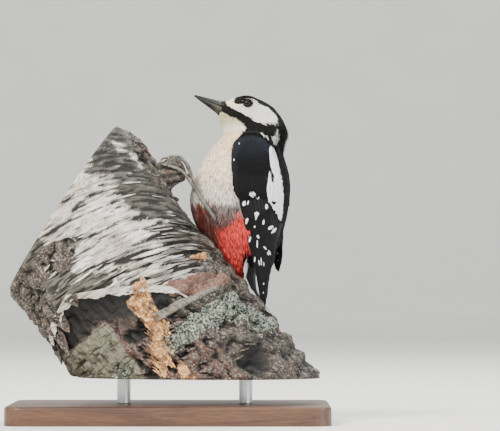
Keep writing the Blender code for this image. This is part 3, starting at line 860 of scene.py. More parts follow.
def feather_mesh(name, centres, out, way, widths, shape, tints, seeds, patches, surface,
                 camber=0.09, thick=0.035, curl=None):
    """Closed vanes from their stations. The first and last stations are points, the others have four
    corners. shape gives the width at each inner station as a share of widths."""
    count, inner = len(centres[0]), len(centres) - 2
    corners = 2 + 4 * inner
    points = np.empty((count, corners, 3))
    vane = np.zeros((count, corners, 3))
    vane[:, :, 2] = seeds[:, None]
    points[:, 0], points[:, -1] = centres[0], centres[-1]
    vane[:, -1, 1] = 1.0
    for k in range(inner):
        side = np.cross(out[k + 1], way[k + 1])
        half = (widths * shape[k] / 2)[:, None]
        droop = out[k + 1] * half * camber * 2
        centre, first = centres[k + 1], 1 + 4 * k
        if curl is not None:
            centre = centre + side * (curl * ((k + 1) / (inner + 1)) ** 2)[:, None]
        points[:, first] = centre - side * half - droop
        points[:, first + 1] = centre + out[k + 1] * thick
        points[:, first + 2] = centre + side * half - droop
        points[:, first + 3] = centre - out[k + 1] * (thick * 0.6) - droop * 0.5
        vane[:, first, 0], vane[:, first + 2, 0] = -1.0, 1.0
        vane[:, first:first + 4, 1] = (k + 1) / (inner + 1)
    if curl is not None:
        points[:, -1] += np.cross(out[-1], way[-1]) * curl[:, None]
    quads, tris = [], []
    for k in range(4):
        other = (k + 1) % 4
        tris.append((0, 1 + other, 1 + k))
        tris.append((corners - 1, corners - 5 + k, corners - 5 + other))
        for ring in range(inner - 1):
            a, b = 1 + 4 * ring, 5 + 4 * ring
            quads.append((a + k, a + other, b + other, b + k))
    start = (np.arange(count) * corners)[:, None, None]
    loops = [(start + np.array(tris)).reshape(-1, 3), (start + np.array(quads)).reshape(-1, 4)]
    mesh = bpy.data.meshes.new(name)
    mesh.vertices.add(count * corners)
    mesh.vertices.foreach_set("co", (points * MM).astype(np.float32).ravel())
    flat = np.concatenate([part.ravel() for part in loops])
    sizes = np.concatenate([np.full(len(part), part.shape[1]) for part in loops])
    mesh.loops.add(len(flat))
    mesh.loops.foreach_set("vertex_index", flat.astype(np.int32))
    mesh.polygons.add(len(sizes))
    mesh.polygons.foreach_set("loop_start", np.concatenate([[0], np.cumsum(sizes)[:-1]]).astype(np.int32))
    mesh.update(calc_edges=True)
    obj = new_object(name, mesh)
    mesh.materials.append(surface)
    mesh.shade_smooth()
    paint(obj, "tint", np.repeat(tints, corners, axis=0))
    paint(obj, "vane", vane.reshape(-1, 3))
    spread = np.stack([vane[:, :, 0], vane[:, :, 1] * 2 - 1], axis=2) * BAKE_PATCH / 2
    bake_map(mesh, flat, (patches[:, None, :] * (1 - BAKE_PATCH) + BAKE_PATCH / 2 + spread).reshape(-1, 2))
    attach(obj, "root")
    return obj


print("feather arrays ready")

# %% [markdown]
# A feather's surface is rows of fine barbs that leave the shaft at a slant and break the light into a soft
# sheen. Real barbs are about a tenth of a millimetre wide, too fine to be drawn, so they are drawn several
# times as coarse, as a slant line pattern that follows each vane. The colour comes from the markings, a
# little darker towards the hidden base.

# %% Plumage material
FULL_TURN = 6.283


def barb_rows(tree, across, along, slope, rows):
    """Waves for rows of barbs that leave the shaft at a slant, and the slant place along the feather."""
    slant = times_plus(tree, math_node(tree, "ABSOLUTE", across), -slope, along)
    return math_node(tree, "SINE", times(tree, slant, rows)), slant


def plumage(name, gloss, row_count):
    made, tree, shader = material(name, gloss, Sheen_Weight=0.02, Sheen_Roughness=0.5,
                                  Specular_IOR_Level=0.1)
    across, along, seed = parts_of(tree, attribute(tree, "vane", "Vector"))
    rows, _ = barb_rows(tree, across, along, 0.35, row_count * FULL_TURN)
    soft = clouds(tree, own_place(tree), 0.0022, 4.0)
    varied = times(tree, times_plus(tree, seed, 0.14, 0.94), times_plus(tree, soft, 0.24, 0.88))
    based = times(tree, varied, ramp(tree, along, (0.0, 0.94), (0.4, 1.0)))
    level = times(tree, based, times_plus(tree, rows, 0.05, 0.97))
    coloured(tree, shader, shade_all(tree, attribute(tree, "tint", "Color"), level))
    bump(tree, shader, rows, 0.00006, 0.5)
    return made


body_plumage = plumage("soft body plumage", 0.72, 14.0)
print("plumage ready")

# %% [markdown]
# Feathers could be planted by a particle system, but then their number and size can't follow the kind of
# plumage. Here each triangle of skin gets as many roots as its own area needs for the tufts there to lie a
# few layers deep, and the roots are spread by chance inside it. Under the folded wings fewer are needed.

# %% Roots spread over the skin
def skin_triangles(obj):
    """Corners of the skin's triangles and their points' normals, in millimetres."""
    obj.data.calc_loop_triangles()
    flat = np.empty(len(obj.data.loop_triangles) * 3, dtype=np.int32)
    obj.data.loop_triangles.foreach_get("vertices", flat)
    flat = flat.reshape(-1, 3)
    return (points_of(obj) / MM)[flat], normals_of(obj)[flat]


def tuft_size(points):
    """Length and width of a tuft at places on the posed bird, smallest on the face."""
    square = squared(points)
    z = square[:, 2]
    from_bill = np.linalg.norm(points - bill_root, axis=1)
    length = np.interp(z, (100, 128, 150, 172, 190, 205), (12.5, 13, 11.5, 9, 8, 6.5))
    width = np.interp(z, (128, 150, 172, 205), (0.95, 0.8, 0.95, 0.95))
    black_back = (square[:, 0] > 66) & (z < 208)
    width = np.where(black_back, 1.8, width)
    head = smoothstep(203, 214, z)
    head_length = np.interp(from_bill, (5, 14, 30, 52), (2.2, 3.2, 4.8, 6.6))
    head_width = np.interp(from_bill, (5, 14, 30, 52), (0.36, 0.42, 0.58, 0.8))
    return length + (head_length - length) * head, width + (head_width - width) * head


LAYERS, TUFT_FILL = 5.2, 0.62  # how deep the tufts lie, and how much of its own box a tuft covers
UNDER_WING_SHARE = 0.35
corners, corner_normals = skin_triangles(skin)
centres = corners.mean(axis=1)
areas = np.linalg.norm(np.cross(corners[:, 1] - corners[:, 0], corners[:, 2] - corners[:, 0]), axis=1) / 2
length, width = tuft_size(centres)
wanted = LAYERS / (length * width * TUFT_FILL)
hidden = on_wing(centres) | (from_feet(centres) < 0.8)
face_normals = normalised(corner_normals.mean(axis=1))
under = np.array([any(wing_cad[s].ray_cast(c, n, 9.0)[0] is not None for s, _ in WINGS)
                  for c, n in zip(centres, face_normals)])
wanted = np.where(hidden, 0, np.where(under, UNDER_WING_SHARE * wanted, wanted))
wanted[from_eye(centres) < 4.5] = 0
total = int((areas * wanted).sum())
reach = np.cumsum(areas * wanted)
shares = (np.arange(total) + random.random(total)) / total
chosen = np.searchsorted(reach, shares * reach[-1] * 0.999999)
a, b = np.sqrt(random.random(total)), random.random(total)
weights = np.stack([1 - a, a * (1 - b), a * b], axis=1)[:, :, None]
roots = (corners[chosen] * weights).sum(axis=1)
root_normals = normalised((corner_normals[chosen] * weights).sum(axis=1))
print("tufts:", total)

# %% [markdown]
# The tufts are laid region by region, so that each piece of coat stays a size that can be edited. On head
# and breast they are sleek and short; on the belly and under the tail they are long, loose and split like
# hair.

# %% Lay the body's tufts
BODY_STEPS = (0.33, 0.7, 1.0)
SLEEK, LOOSE = (0.9, 0.95), (0.85, 0.62)
ROOT_DEPTH, NAPE_RISE = 0.3, 4.6


def patch_places(points, piece_axis):
    """Places on an unwrap of the skin: the angle round it and the way along it, each from 0 to 1."""
    axis = normalised(np.asarray(piece_axis, float))
    side = normalised(np.cross(axis, (0.0, 1.0, 0.0)))
    away = points - points.mean(axis=0)
    angle = np.arctan2(away @ np.cross(axis, side), away @ side) / (2 * math.pi) + 0.5
    along = away @ axis
    return np.stack([angle, (along - along.min()) / (np.ptp(along) + 1e-6)], axis=1)


def lay_tufts(name, chosen, surface, piece_axis, fluff):
    """One piece of coat; fluff is 0 for sleek plumage and up to 1 for loose down."""
    place, normal = roots[chosen], root_normals[chosen]
    size, wide = tuft_size(place)
    count = len(place)
    size = size * random.uniform(0.8, 1.2, count)
    wide = wide * random.uniform(0.8, 1.25, count)
    near_eye = from_eye(place)
    size = np.minimum(size, np.interp(near_eye, (4.6, 7, 12), (1.1, 2.4, 9)) + (near_eye > 12) * 20)
    way = lie(place) + random.normal(0, 0.06 + 0.1 * fluff, (count, 3))
    centres, out, ways = carried(skin_tree, place, normal, way, size, BODY_STEPS)
    uneven, lying = (0.05, 0.9) if fluff == 0 else (0.1, 0.8)
    cover = coat_depth(place) * random.uniform(0.97 - uneven, 0.97 + uneven, count)
    square = squared(place)
    front, height = square[:, 0], square[:, 2]
    nape = NAPE_RISE * smoothstep(77, 83, front) * smoothstep(201, 208, height)
    nape = nape * smoothstep(226, 215, height)
    for k, step in enumerate((0.0, *BODY_STEPS)):
        rise = -ROOT_DEPTH + (cover + ROOT_DEPTH) * (lying + (1 - lying) * step if step else 0.0)
        loose = (fluff * 1.4 + nape) * random.uniform(0, 1, count) * step * step
        centres[k] = centres[k] + out[k] * (rise + loose)[:, None]
    tints = marking(0.5 * (centres[2] + centres[3]), 0.25)
    tints = np.clip(tints * (1 + random.normal(0, 0.05 + 0.06 * fluff, (count, 1))), 0.004, 0.95)
    curl = random.normal(0, 0.25 + 0.7 * fluff, count) * size / 8
    shape = LOOSE if fluff else SLEEK
    return feather_mesh(name, centres, out, ways, wide, shape, tints, random.random(count),
                        patch_places(place, piece_axis), surface, camber=0.05, curl=curl)


root_square = squared(roots)
height, front = root_square[:, 2], root_square[:, 0]
on_head = height > 211
REGIONS = (
    ("coat_face", on_head & (front < 55), HEAD_BACK, 0.0),
    ("coat_cheek", on_head & (front >= 55) & (front < 67), HEAD_BACK, 0.0),
    ("coat_nape", on_head & (front >= 67), HEAD_BACK, 0.0),
    ("coat_neck_and_breast", ~on_head & (height > 182) & (front < 66), (0, 0, 1), 0.0),
    ("coat_belly", (height <= 182) & (height > 160) & (front < 66), (0, 0, 1), 0.25),
    ("coat_back", ~on_head & (front >= 66), (0, 0, 1), 0.0),
    ("coat_vent", (height <= 160) & (height > 135) & (front < 66), (0, 0, 1), 0.6),
    ("coat_undertail", (height <= 135) & (front < 66), (0, 0, 1), 0.5),
)
for name, chosen_here, axis, fluff in REGIONS:
    for side, hand in WINGS:
        half = chosen_here & (root_square[:, 1] * hand > 0)
        piece = lay_tufts(name + "_" + side, half, body_plumage, axis, fluff)
        print(piece.name, len(piece.data.polygons), "faces")

# %% [markdown]
# ## Wings
# A folded wing is a fan that has been closed: the long primaries and secondaries slide under each other,
# the inner ones on top, and rows of coverts hide their roots. Each long feather is made on its own as a
# thin vane with a shaft, drawn on the wing solid's outer face from root to tip, and each one lies a little
# deeper than its neighbour. A place on the wing is given by its height and by its angle round the body,
# from the back.

# %% A map of the folded wing's outer face
# Height, then centre x, half depth and half width of the oval the wing lies on.
WING_OVAL = np.array([(82, 62.5, 17.6, 18.6), (95, 62, 19, 19.8), (107, 61, 22, 21.4), (120, 58, 27, 23.8),
                      (132, 54, 31.2, 26.4), (143, 52.6, 35.4, 29.2), (155, 52.4, 38.4, 32),
                      (168, 52.2, 40, 33), (182, 54.4, 37.2, 32), (195, 56.4, 33, 29.4),
                      (204, 58.4, 30.6, 26.4), (215, 60.5, 28, 22)])
# Height, and the angles of the wing's hind and front edges.
WING_EDGES = np.array([(84.6, 45, 48), (95, 42, 55.5), (107, 39, 64), (120, 28, 67), (132, 21, 68),
                       (143, 21.5, 71), (155, 20.5, 75), (168, 22, 79.4), (182, 24, 87.6), (194, 30, 94),
                       (202, 38.5, 98.5), (208, 50, 97.5), (212, 62, 92), (213.8, 70, 86)])
WING_FOOT, WING_LENGTH = 84.6, 120
FOLD_TOP, FOLD_SHARE, FOLD_BACK = 205.0, 0.78, 5.0  # the right wing is folded tighter, its tip ends higher


def wing_edges(height):
    return read(WING_EDGES, height), read(WING_EDGES, height, 2)


def wing_ray(side, height, angle):
    """Centre and outward direction of a place on a wing, on the square bird. Both use the left's places."""
    height, angle = np.broadcast_arrays(np.asarray(height, float), np.asarray(angle, float))
    z = height
    if side == "right":
        back, front = wing_edges(height)
        share = np.clip((height - WING_FOOT) / WING_LENGTH, 0, 1)
        angle = angle + (front - angle) / (front - back) * FOLD_BACK * share
        z = np.where(height < FOLD_TOP, FOLD_TOP + (height - FOLD_TOP) * FOLD_SHARE, height)
    centre_x, deep, wide = (read(WING_OVAL, z, k) for k in (1, 2, 3))
    turn = np.radians(angle)
    hand = -1 if side == "left" else 1
    way = normalised(np.stack([deep * np.cos(turn), hand * wide * np.sin(turn), 0 * z], axis=-1))
    return np.stack([centre_x, 0 * z, z], axis=-1), way


HEIGHTS, SHARES = np.linspace(86.0, 213.0, 90), np.linspace(0.04, 0.96, 16)
wing_reach = {}
for side, _ in WINGS:
    reach = np.zeros((len(HEIGHTS), len(SHARES)))
    for i, height in enumerate(HEIGHTS):
        back, front = wing_edges(height)
        centre, way = wing_ray(side, height, back + (front - back) * SHARES)
        start, end = posed(centre), posed(centre + way)
        for k, (c, w) in enumerate(zip(start, end - start)):
            hit = wing_cad[side].ray_cast(c + w * 90, -w)[0]
            reach[i, k] = (np.array(hit) - c) @ w if hit is not None else np.nan
    for row in reach:
        known = ~np.isnan(row)
        row[:] = np.interp(SHARES, SHARES[known], row[known]) if known.any() else np.nan
    known = ~np.isnan(reach[:, 0])
    wing_reach[side] = np.array([np.interp(HEIGHTS, HEIGHTS[known], column[known]) for column in reach.T]).T
    print(side, "wing reach", wing_reach[side].min().round(1), wing_reach[side].max().round(1), "mm")


def wing_place(side, height, angle, lift=0.0):
    """The posed point over a place on a wing's outer face."""
    height, angle = np.broadcast_arrays(np.asarray(height, float), np.asarray(angle, float))
    back, front = wing_edges(height)
    share = np.clip((angle - back) / (front - back), SHARES[0], SHARES[-1])
    row = np.clip((height - HEIGHTS[0]) / (HEIGHTS[1] - HEIGHTS[0]), 0, len(HEIGHTS) - 1.001)
    column = np.clip((share - SHARES[0]) / (SHARES[1] - SHARES[0]), 0, len(SHARES) - 1.001)
    i, k = row.astype(int), column.astype(int)
    f, g = row - i, column - k
    grid = wing_reach[side]
    reach = (grid[i, k] * (1 - f) * (1 - g) + grid[i + 1, k] * f * (1 - g)
             + grid[i, k + 1] * (1 - f) * g + grid[i + 1, k + 1] * f * g)
    centre, way = wing_ray(side, height, angle)
    square = centre + way * (reach + lift)[..., None]
    return posed(square.reshape(-1, 3)).reshape(square.shape)


# %% [markdown]
# The white spots lie on the feathers' outer edges, so that on the closed wing they line up in broken bars.
# The shader draws them: each spot is an ellipse on the wing's own map, in height and in angle, and its edge
# is made uneven by noise, so it stays sharp however few points the mesh has.

# %% Flight feather material with its spots
ANGLE_MM = 0.5  # one degree round the wing is about half a millimetre
# Height, angle, half length, half width in mm, and slant in degrees.
SPOTS = ((169.4, 65.6, 2.0, 1.5, 20), (165.8, 59.9, 1.7, 1.1, -15), (161.2, 73.8, 2.1, 1.1, 12),
         (161.8, 69.6, 1.6, 0.5, 10), (158.8, 49.6, 2.0, 0.9, -6), (153.6, 60.0, 1.5, 1.5, 0),
         (151.4, 60.2, 2.2, 0.8, 0), (148.4, 70.8, 2.6, 0.9, 12), (144.2, 61.0, 0.8, 0.6, 0),
         (147.4, 50.8, 2.0, 0.7, 0), (143.6, 40.5, 2.0, 1.3, 50), (141.4, 35.0, 2.3, 1.4, 35),
         (135.0, 67.0, 2.5, 0.8, 14), (137.0, 56.0, 1.5, 0.8, -25), (131.4, 57.2, 3.2, 0.55, 6),
         (128.6, 45.6, 1.9, 0.7, -38), (125.2, 39.0, 2.0, 0.8, -25), (124.4, 42.0, 1.5, 0.6, -25),
         (120.2, 65.5, 2.4, 0.6, 18), (118.6, 55.0, 3.1, 0.5, 2), (117.8, 58.8, 2.2, 0.5, -8),
         (116.8, 50.8, 1.7, 0.4, 0), (102.4, 51.4, 0.9, 0.5, 0), (95.6, 51.2, 0.7, 0.4, 0),
         (206.0, 91.0, 0.8, 0.3, 20), (194.4, 91.4, 0.8, 0.4, 0))


def spot_map(tree, rough):
    """White inside the spots, black outside, with an edge made uneven by a noise."""
    wing, nearest = attribute(tree, "wing_map", "Vector"), None
    for height, angle, half_long, half_wide, slant in SPOTS:
        local = node(tree, "ShaderNodeMapping", {
            "Vector": wing, "Location": (angle * ANGLE_MM, height, 0),
            "Rotation": (0, 0, math.radians(slant)),
            "Scale": (half_wide * 0.86, half_long * 0.95, 1)}, vector_type="TEXTURE").outputs[0]
        away = node(tree, "ShaderNodeVectorMath", {0: local}, operation="LENGTH").outputs["Value"]
        nearest = away if nearest is None else math_node(tree, "MINIMUM", nearest, away)
    nearest = times_plus(tree, rough, 0.9, math_node(tree, "SUBTRACT", nearest, 0.45))
    return ramp(tree, nearest, (0.92, 1.0), (1.06, 0.0))


def flight_material():
    made, tree, shader = material("flight feather", 0.48, Specular_IOR_Level=0.12)
    rough = clouds(tree, own_place(tree), 0.0012, 2.0)
    across, along, seed = parts_of(tree, attribute(tree, "vane", "Vector"))
    rows, slant = barb_rows(tree, across, along, 0.06, 700.0)
    by_barb = joined(tree, times(tree, across, 3.0), times(tree, slant, 60.0), times(tree, seed, 40.0))
    level = times_plus(tree, clouds(tree, by_barb), 0.7, 0.65)
    from_shaft = math_node(tree, "ABSOLUTE", across)
    dark = washed(tree, shade_all(tree, attribute(tree, "tint", "Color"), level),
                  (from_shaft, (0.03, 0.5), (0.08, 0.0), "#0b0b0c"),
                  (from_shaft, (0.88, 0.0), (1.0, 0.3), "#343538"))
    white = mix(tree, rough, "#cfcfce", "#ecebe8")
    spotted = times(tree, spot_map(tree, rough), attribute(tree, "spotted"))
    coloured(tree, shader, mix(tree, spotted, dark, white))
    bump(tree, shader, rows, 0.00008, 0.55)
    return made


flight = flight_material()
print("spots on the wing:", len(SPOTS))

# %% [markdown]
# A long feather is a flat springy blade on a stiff shaft. A flat card would show as paper where feathers
# overlap, so each one is a thin closed plate: an outer grid of points on the wing's map, a second grid just
# below it, and a rim that joins them. Its edges droop, its shaft stands up a little and its tip is rounded.

# %% Long feathers as thin vanes on the wing
STATIONS, LANES = 30, (-1.0, -0.55, -0.08, 0.08, 0.55, 1.0)
VANE_THICK = 0.32


def vane_faces(rows, columns):
    """Faces of a thin closed plate: an outer grid, an inner grid and the rim that joins them."""
    inner, faces = rows * columns, []
    for r in range(rows - 1):
        for c in range(columns - 1):
            a = r * columns + c
            quad = (a, a + 1, a + columns + 1, a + columns)
            faces += [quad, tuple(inner + v for v in quad[::-1])]
    border = list(range(columns)) + [r * columns + columns - 1 for r in range(1, rows)]
    border += [(rows - 1) * columns + c for c in range(columns - 2, -1, -1)]
    border += [r * columns for r in range(rows - 2, 0, -1)]
    for v, w in zip(border, border[1:] + border[:1]):
        faces.append((w, v, inner + v, inner + w))
    return faces


def join_vanes(name, vanes, surface):
    """One piece from many vanes, each given by its outer points, inner points and attributes."""
    points, faces, extra, patches = [], [], {}, []
    start = 0
    for index, vane in enumerate(vanes):
        rows, columns = vane["outer"].shape[:2]
        points += [vane["outer"].reshape(-1, 3), vane["inner"].reshape(-1, 3)]
        faces += [tuple(start + v for v in face) for face in vane_faces(rows, columns)]
        for key, values in vane["attributes"].items():
            under = vane.get("inner_attributes", {}).get(key, values)
            extra.setdefault(key, []).extend(v.reshape(rows * columns, -1) for v in (values, under))
        across = np.broadcast_to(np.linspace(0.05, 0.45, columns), (rows, columns))
        along = np.broadcast_to(np.linspace(0.02, 0.98, rows)[:, None], (rows, columns))
        for half in (0.0, 0.5):
            patches.append(np.stack([(index + half + across) / len(vanes), along], axis=2).reshape(-1, 2))
        start += 2 * rows * columns
    obj = mesh_object(name, np.concatenate(points) * MM, faces, surface)
    mesh = obj.data
    for key, values in extra.items():
        values = np.concatenate(values)
        paint(obj, key, values[:, 0] if values.shape[1] == 1 else values)
    corner_points = np.empty(len(mesh.loops), dtype=np.int32)
    mesh.loops.foreach_get("vertex_index", corner_points)
    bake_map(mesh, corner_points, np.concatenate(patches))
    facing_out(obj)
    mesh.shade_smooth()
    mesh.set_sharp_from_angle(angle=math.radians(50))
    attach(obj, "root")
    return obj


def vane_map(shape, s):
    """For each point of a vane: its place across, its place along, and a number of the vane's own."""
    lanes, along = np.broadcast_to(LANES, shape), np.broadcast_to(s[:, None], shape)
    return np.stack([lanes, along, np.full(shape, random.random())], axis=2)


def long_feather(side, heights, share, half_width, lift, tint, tip, sharp, lean=0.0):
    """A vane along a line on the wing, from root to tip. share is where the line lies between the wing's
    hind and front edges; lean shifts the shaft to the front."""
    s = np.linspace(0, 1, STATIONS)
    back, front = wing_edges(heights)
    knots = np.linspace(0, 1, len(heights))
    height, angle = np.interp(s, knots, heights), np.interp(s, knots, back + (front - back) * share)
    rounded = np.sqrt(np.clip(1 - (np.clip(s - (1 - tip), 0, tip) / tip) ** sharp, 0, 1))
    profile = half_width * np.interp(s, (0, 0.15, 0.6, 1), (0.45, 0.8, 1, 1)) * np.maximum(rounded, 0.04)
    degrees = np.degrees(profile / read(WING_OVAL, height, 3))
    lanes = np.array(LANES)[None, :]
    from_shaft = np.abs(lanes)
    angle_grid = angle[:, None] + degrees[:, None] * (lanes + lean * (1 - from_shaft))
    # the barbs sweep towards the tip, so the ends of a row of points lie a little lower than its middle
    height_grid = height[:, None] + profile[:, None] * 0.25 * (0.5 - from_shaft)
    lifts = lift + 0.16 * (from_shaft < 0.1) - 0.28 * from_shaft ** 2 - 0.25 * (1 - s[:, None])
    thick = VANE_THICK * (1 - 0.6 * from_shaft) * np.interp(s, (0, 0.8, 1), (1, 1, 0.3))[:, None]
    shape = height_grid.shape
    attributes = {
        "vane": vane_map(shape, s),
        "tint": np.broadcast_to(tone(tint), (*shape, 3)) * random.uniform(0.85, 1.15),
        "wing_map": np.stack([angle_grid * ANGLE_MM, height_grid, 0 * height_grid], axis=2),
        "spotted": np.ones(shape),
    }
    return {"outer": wing_place(side, height_grid, angle_grid, lifts),
            "inner": wing_place(side, height_grid, angle_grid, lifts - thick), "attributes": attributes}


def from_to(start, end, count, power=1.0):
    """Numbers from a start to an end that stay near the start for longer as the power grows."""
    return start + (end - start) * np.linspace(0, 1, count) ** power


def flight_feathers(side):
    """Primaries, which make the wing's tip, then secondaries, then the short tertials on top."""
    vanes = []
    for i, tip in enumerate((84.8, 86.0, 89.5, 94.5, 100.0, 106.0, 111.0)):
        share = from_to(0.93 - 0.055 * i, 0.5 if i < 2 else 0.22, 9, 2.6 - 0.25 * i)
        vanes.append(long_feather(side, from_to(170 - i, tip, 9), share, 3.4 + 0.1 * i, -1.15 + 0.13 * i,
                                  "#0a0a0b", tip=0.14, sharp=1.7, lean=0.35))
    for i in range(6):
        share = from_to(0.60 - 0.06 * i, 0.13, 7, 1.7)
        heights = from_to(166 + 0.8 * i, 114.5 + 4.6 * i, 7)
        vanes.append(long_feather(side, heights, share, 3.9, -0.3 + 0.13 * i, "#0b0b0d", tip=0.11, sharp=2.2,
                                  lean=0.2))
    for i in range(3):
        share = from_to(0.34 - 0.05 * i, 0.10, 6, 1.6)
        vanes.append(long_feather(side, from_to(172, 136.0 + 6.0 * i, 6), share, 4.9, 0.55 + 0.15 * i,
                                  "#0d0e11", tip=0.2, sharp=2.0))
    return vanes


def wing_coverts(side):
    """Primary coverts and alula at the front edge, and the greater coverts over the secondaries."""
    vanes = []
    for i in range(5):
        tip = 141.0 + 5.0 * i
        share = np.full(6, 0.965 - 0.035 * i)
        vanes.append(long_feather(side, from_to(tip + 33, tip, 6), share, 1.9, -0.35 + 0.12 * i, "#0b0b0d",
                                  tip=0.25, sharp=1.8, lean=0.3))
    for i in range(9):
        tip = 149.0 + 1.1 * i
        start = 0.86 - 0.072 * i
        share = from_to(start, start - 0.02, 6)
        vanes.append(long_feather(side, from_to(tip + 25, tip, 6), share, 2.5, 0.25 + 0.1 * i, "#0c0d10",
                                  tip=0.2, sharp=2.2, lean=0.2))
    return vanes


for side, _ in WINGS:
    made = join_vanes(side + "_flight_feathers", flight_feathers(side), flight)
    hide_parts(side + "_wing")
    greater = join_vanes(side + "_greater_coverts", wing_coverts(side), flight)
    print(made.name, len(made.data.polygons), greater.name, len(greater.data.polygons))

# %% [markdown]
# Over the arm lie the small coverts, in rows like roof tiles, black with a painted blue sheen that is
# lighter on top of the shoulder and along the wing's edges. At the hind edge the long white scapulars cover
# the place
# where wing meets back: together they make the white oval that tells this species from its relatives at a
# glance. They are soft and hang over the rows below them. Roots on a lattice, each row half a step on from
# the last, give the tile pattern without placing any feather by hand.

# %% Small coverts and white scapulars
SCAPULAR = ((46.4, 196.8), (43.2, 198.6), (38.5, 195), (32.5, 187), (29.5, 174), (28.0, 152),
            (28.4, 146.5), (32.0, 148.0), (38.0, 153.5), (42.0, 156.0), (48.0, 161.5), (49.6, 168),
            (48.0, 174.0), (44.6, 176.6), (40.2, 177.0), (39.6, 180.8), (43.6, 183.0), (45.2, 194.0))
DARK_SPOTS = ((41.8, 160.0, 1.5), (43.4, 178.6, 2.3))  # angle, height and radius of black dots in the white
COVERT_STEPS = (0.25, 0.5, 0.75, 0.92, 1.0)
TILE = (0.75, 1.0, 0.98, 0.66)


def wing_normals(side, height, angle):
    up = wing_place(side, height + 0.5, angle) - wing_place(side, height - 0.5, angle)
    round_it = wing_place(side, height, angle + 1.0) - wing_place(side, height, angle - 1.0)
    normal = np.cross(round_it, up) if side == "left" else np.cross(up, round_it)
    return normalised(normal)


def ways_between(stations):
    """The way from each station to the next; the last keeps the way of the one before."""
    ways = [normalised(b - a) for a, b in zip(stations, stations[1:])]
    return [*ways, ways[-1]]


def wing_tufts(name, side, height, angle, length, width, lift, rise, tints):
    """Small vanes on a wing, from roots given as height and angle, running down to their tips."""
    centres, outs = [], []
    for step in (0.0, *COVERT_STEPS):
        h = height - length * step
        _, front = wing_edges(h)
        over = np.clip((angle - front + 1.5) / 4.0, 0, 1)
        centres.append(wing_place(side, h, angle, lift + (rise - lift) * step ** 1.3 - 2.0 * over ** 2))
        outs.append(wing_normals(side, h, np.minimum(angle, front)))
    back, front = wing_edges(height)
    share = np.clip((angle - back) / (front - back), 0, 1)
    patches = np.stack([0.05 + 0.9 * share, np.clip((height - 130) / 90, 0, 1)], axis=1)
    return feather_mesh(name, centres, outs, ways_between(centres), width, TILE, tints,
                        random.random(len(height)), patches, body_plumage, camber=0.04, thick=0.04)


def lattice(top, bottom, row_step, angle_step, margin):
    """Roots in staggered rows over the wing between two heights."""
    heights, angles = [], []
    for row, height in enumerate(np.arange(top, bottom, -row_step)):
        back, front = wing_edges(min(height, 213.0))
        row_angles = np.arange(back - margin[0], front + margin[1], angle_step)
        heights.append(np.full(len(row_angles), height))
        angles.append(row_angles + (row % 2) * angle_step / 2)
    heights, angles = np.concatenate(heights), np.concatenate(angles)
    return (heights + random.normal(0, row_step * 0.13, len(heights)),
            angles + random.normal(0, angle_step * 0.1, len(angles)))


def in_scapular(height, angle):
    white = inside(SCAPULAR, angle, height)
    for spot_angle, spot_height, spot_radius in DARK_SPOTS:
        white &= np.hypot((angle - spot_angle) * ANGLE_MM, height - spot_height) > spot_radius
    return white


def small_coverts(side):
    height, angle = lattice(211.5, 172.0, 1.1, 1.7, (2.0, -0.5))
    back, front = wing_edges(height)
    # Painted sheen: the coverts are a lighter blue-black on top of the shoulder and along the wing's edges.
    rim_sheen = smoothstep(12, 3, np.minimum(angle - back, front - angle)) * smoothstep(178, 196, height)
    tints = blended(tone("#08090b"), tone("#1f222b"),
                    np.clip(0.8 * smoothstep(194, 213, height) + 0.6 * rim_sheen, 0, 1))
    tints = tints * random.uniform(0.92, 1.1, (len(tints), 1))
    length = np.interp(height, (172, 190, 214), (8.0, 6.5, 4.4)) * random.uniform(0.85, 1.15, len(height))
    width = np.interp(height, (172, 190, 214), (1.9, 1.6, 1.2))
    over = np.interp(height, (176, 186), (1.5, 0.22))
    seen = height - 0.7 * length
    for spot_height, spot_angle, half_long, half_wide, _ in SPOTS:
        away = np.hypot((seen - spot_height) / (half_long * 0.8 + 0.1),
                        (angle - spot_angle) * ANGLE_MM / (half_wide * 0.9 + 0.1))
        tints[(away < 1) & (seen > 164)] = tone("#dcdddd")
    return wing_tufts(side + "_small_coverts", side, height, angle, length, width, over - 0.5, over, tints)


def scapulars(side):
    tip_height, angle = lattice(204.0, 146.0, 1.3, 1.9, (5.0, -20.0))
    length = np.clip(204.0 - tip_height, 3.0, np.interp(tip_height, (150, 195), (13, 9)))
    length = length * random.uniform(0.85, 1.1, len(length))
    behind = (np.abs(angle - 24.0) < 6.5) & (tip_height > 146) & (tip_height < 203)
    keep = inside(SCAPULAR, angle, tip_height) | behind
    length, tip_height, angle = length[keep], tip_height[keep], angle[keep]
    white = in_scapular(tip_height, angle)
    tints = np.where(white[:, None], tone("#f0f1f4"), tone("#0b0c0f"))
    tints = tints * random.uniform(0.93, 1.05, (len(tints), 1))
    height = tip_height + length
    over, wide = np.interp(height, (176, 196), (1.75, 0.7)), np.where(white, 1.9, 2.1)
    return wing_tufts(side + "_scapulars", side, height, angle, length, wide, over - 0.6, over, tints)


for side, _ in WINGS:
    for piece in (small_coverts(side), scapulars(side)):
        print(piece.name, len(piece.data.polygons), "faces")

# %% [markdown]
# ## Tail
# A woodpecker's tail is a prop: twelve feathers with stiff shafts and pointed tips that press on the bark.
# The middle pair is the longest and lies on top; each next pair is shorter and lies under it. The inner
# ones are black and the outer ones white with black bars. They are vanes like the wing's, but their places
# come from a table of the tail's own curve, width and thickness at each height.

# %% Stiff tail feathers
# Height, x of the shafts' line, half width, thickness, droop of the sides, and how far it turns with the
# body.
TAIL = np.array([(79.4, 75.2, 2.6, 1.2, 0.1, 0), (85, 70.6, 5.6, 1.6, 0.2, 0), (91, 66.4, 9.4, 2, 0.7, 0.2),
                 (98, 62.8, 13.6, 2.4, 1.6, 0.5), (107, 61.6, 15.8, 3.4, 3.4, 0.95),
                 (118, 63.6, 15, 4.2, 3.2, 1), (130, 67.6, 12, 4.8, 1.8, 1), (142, 72, 8, 5, 0.6, 1)])
TAIL_ROOT = 134.0
TAIL_TIPS = (79.8, 82.0, 86.5, 92.5, 99.5, 110.0)


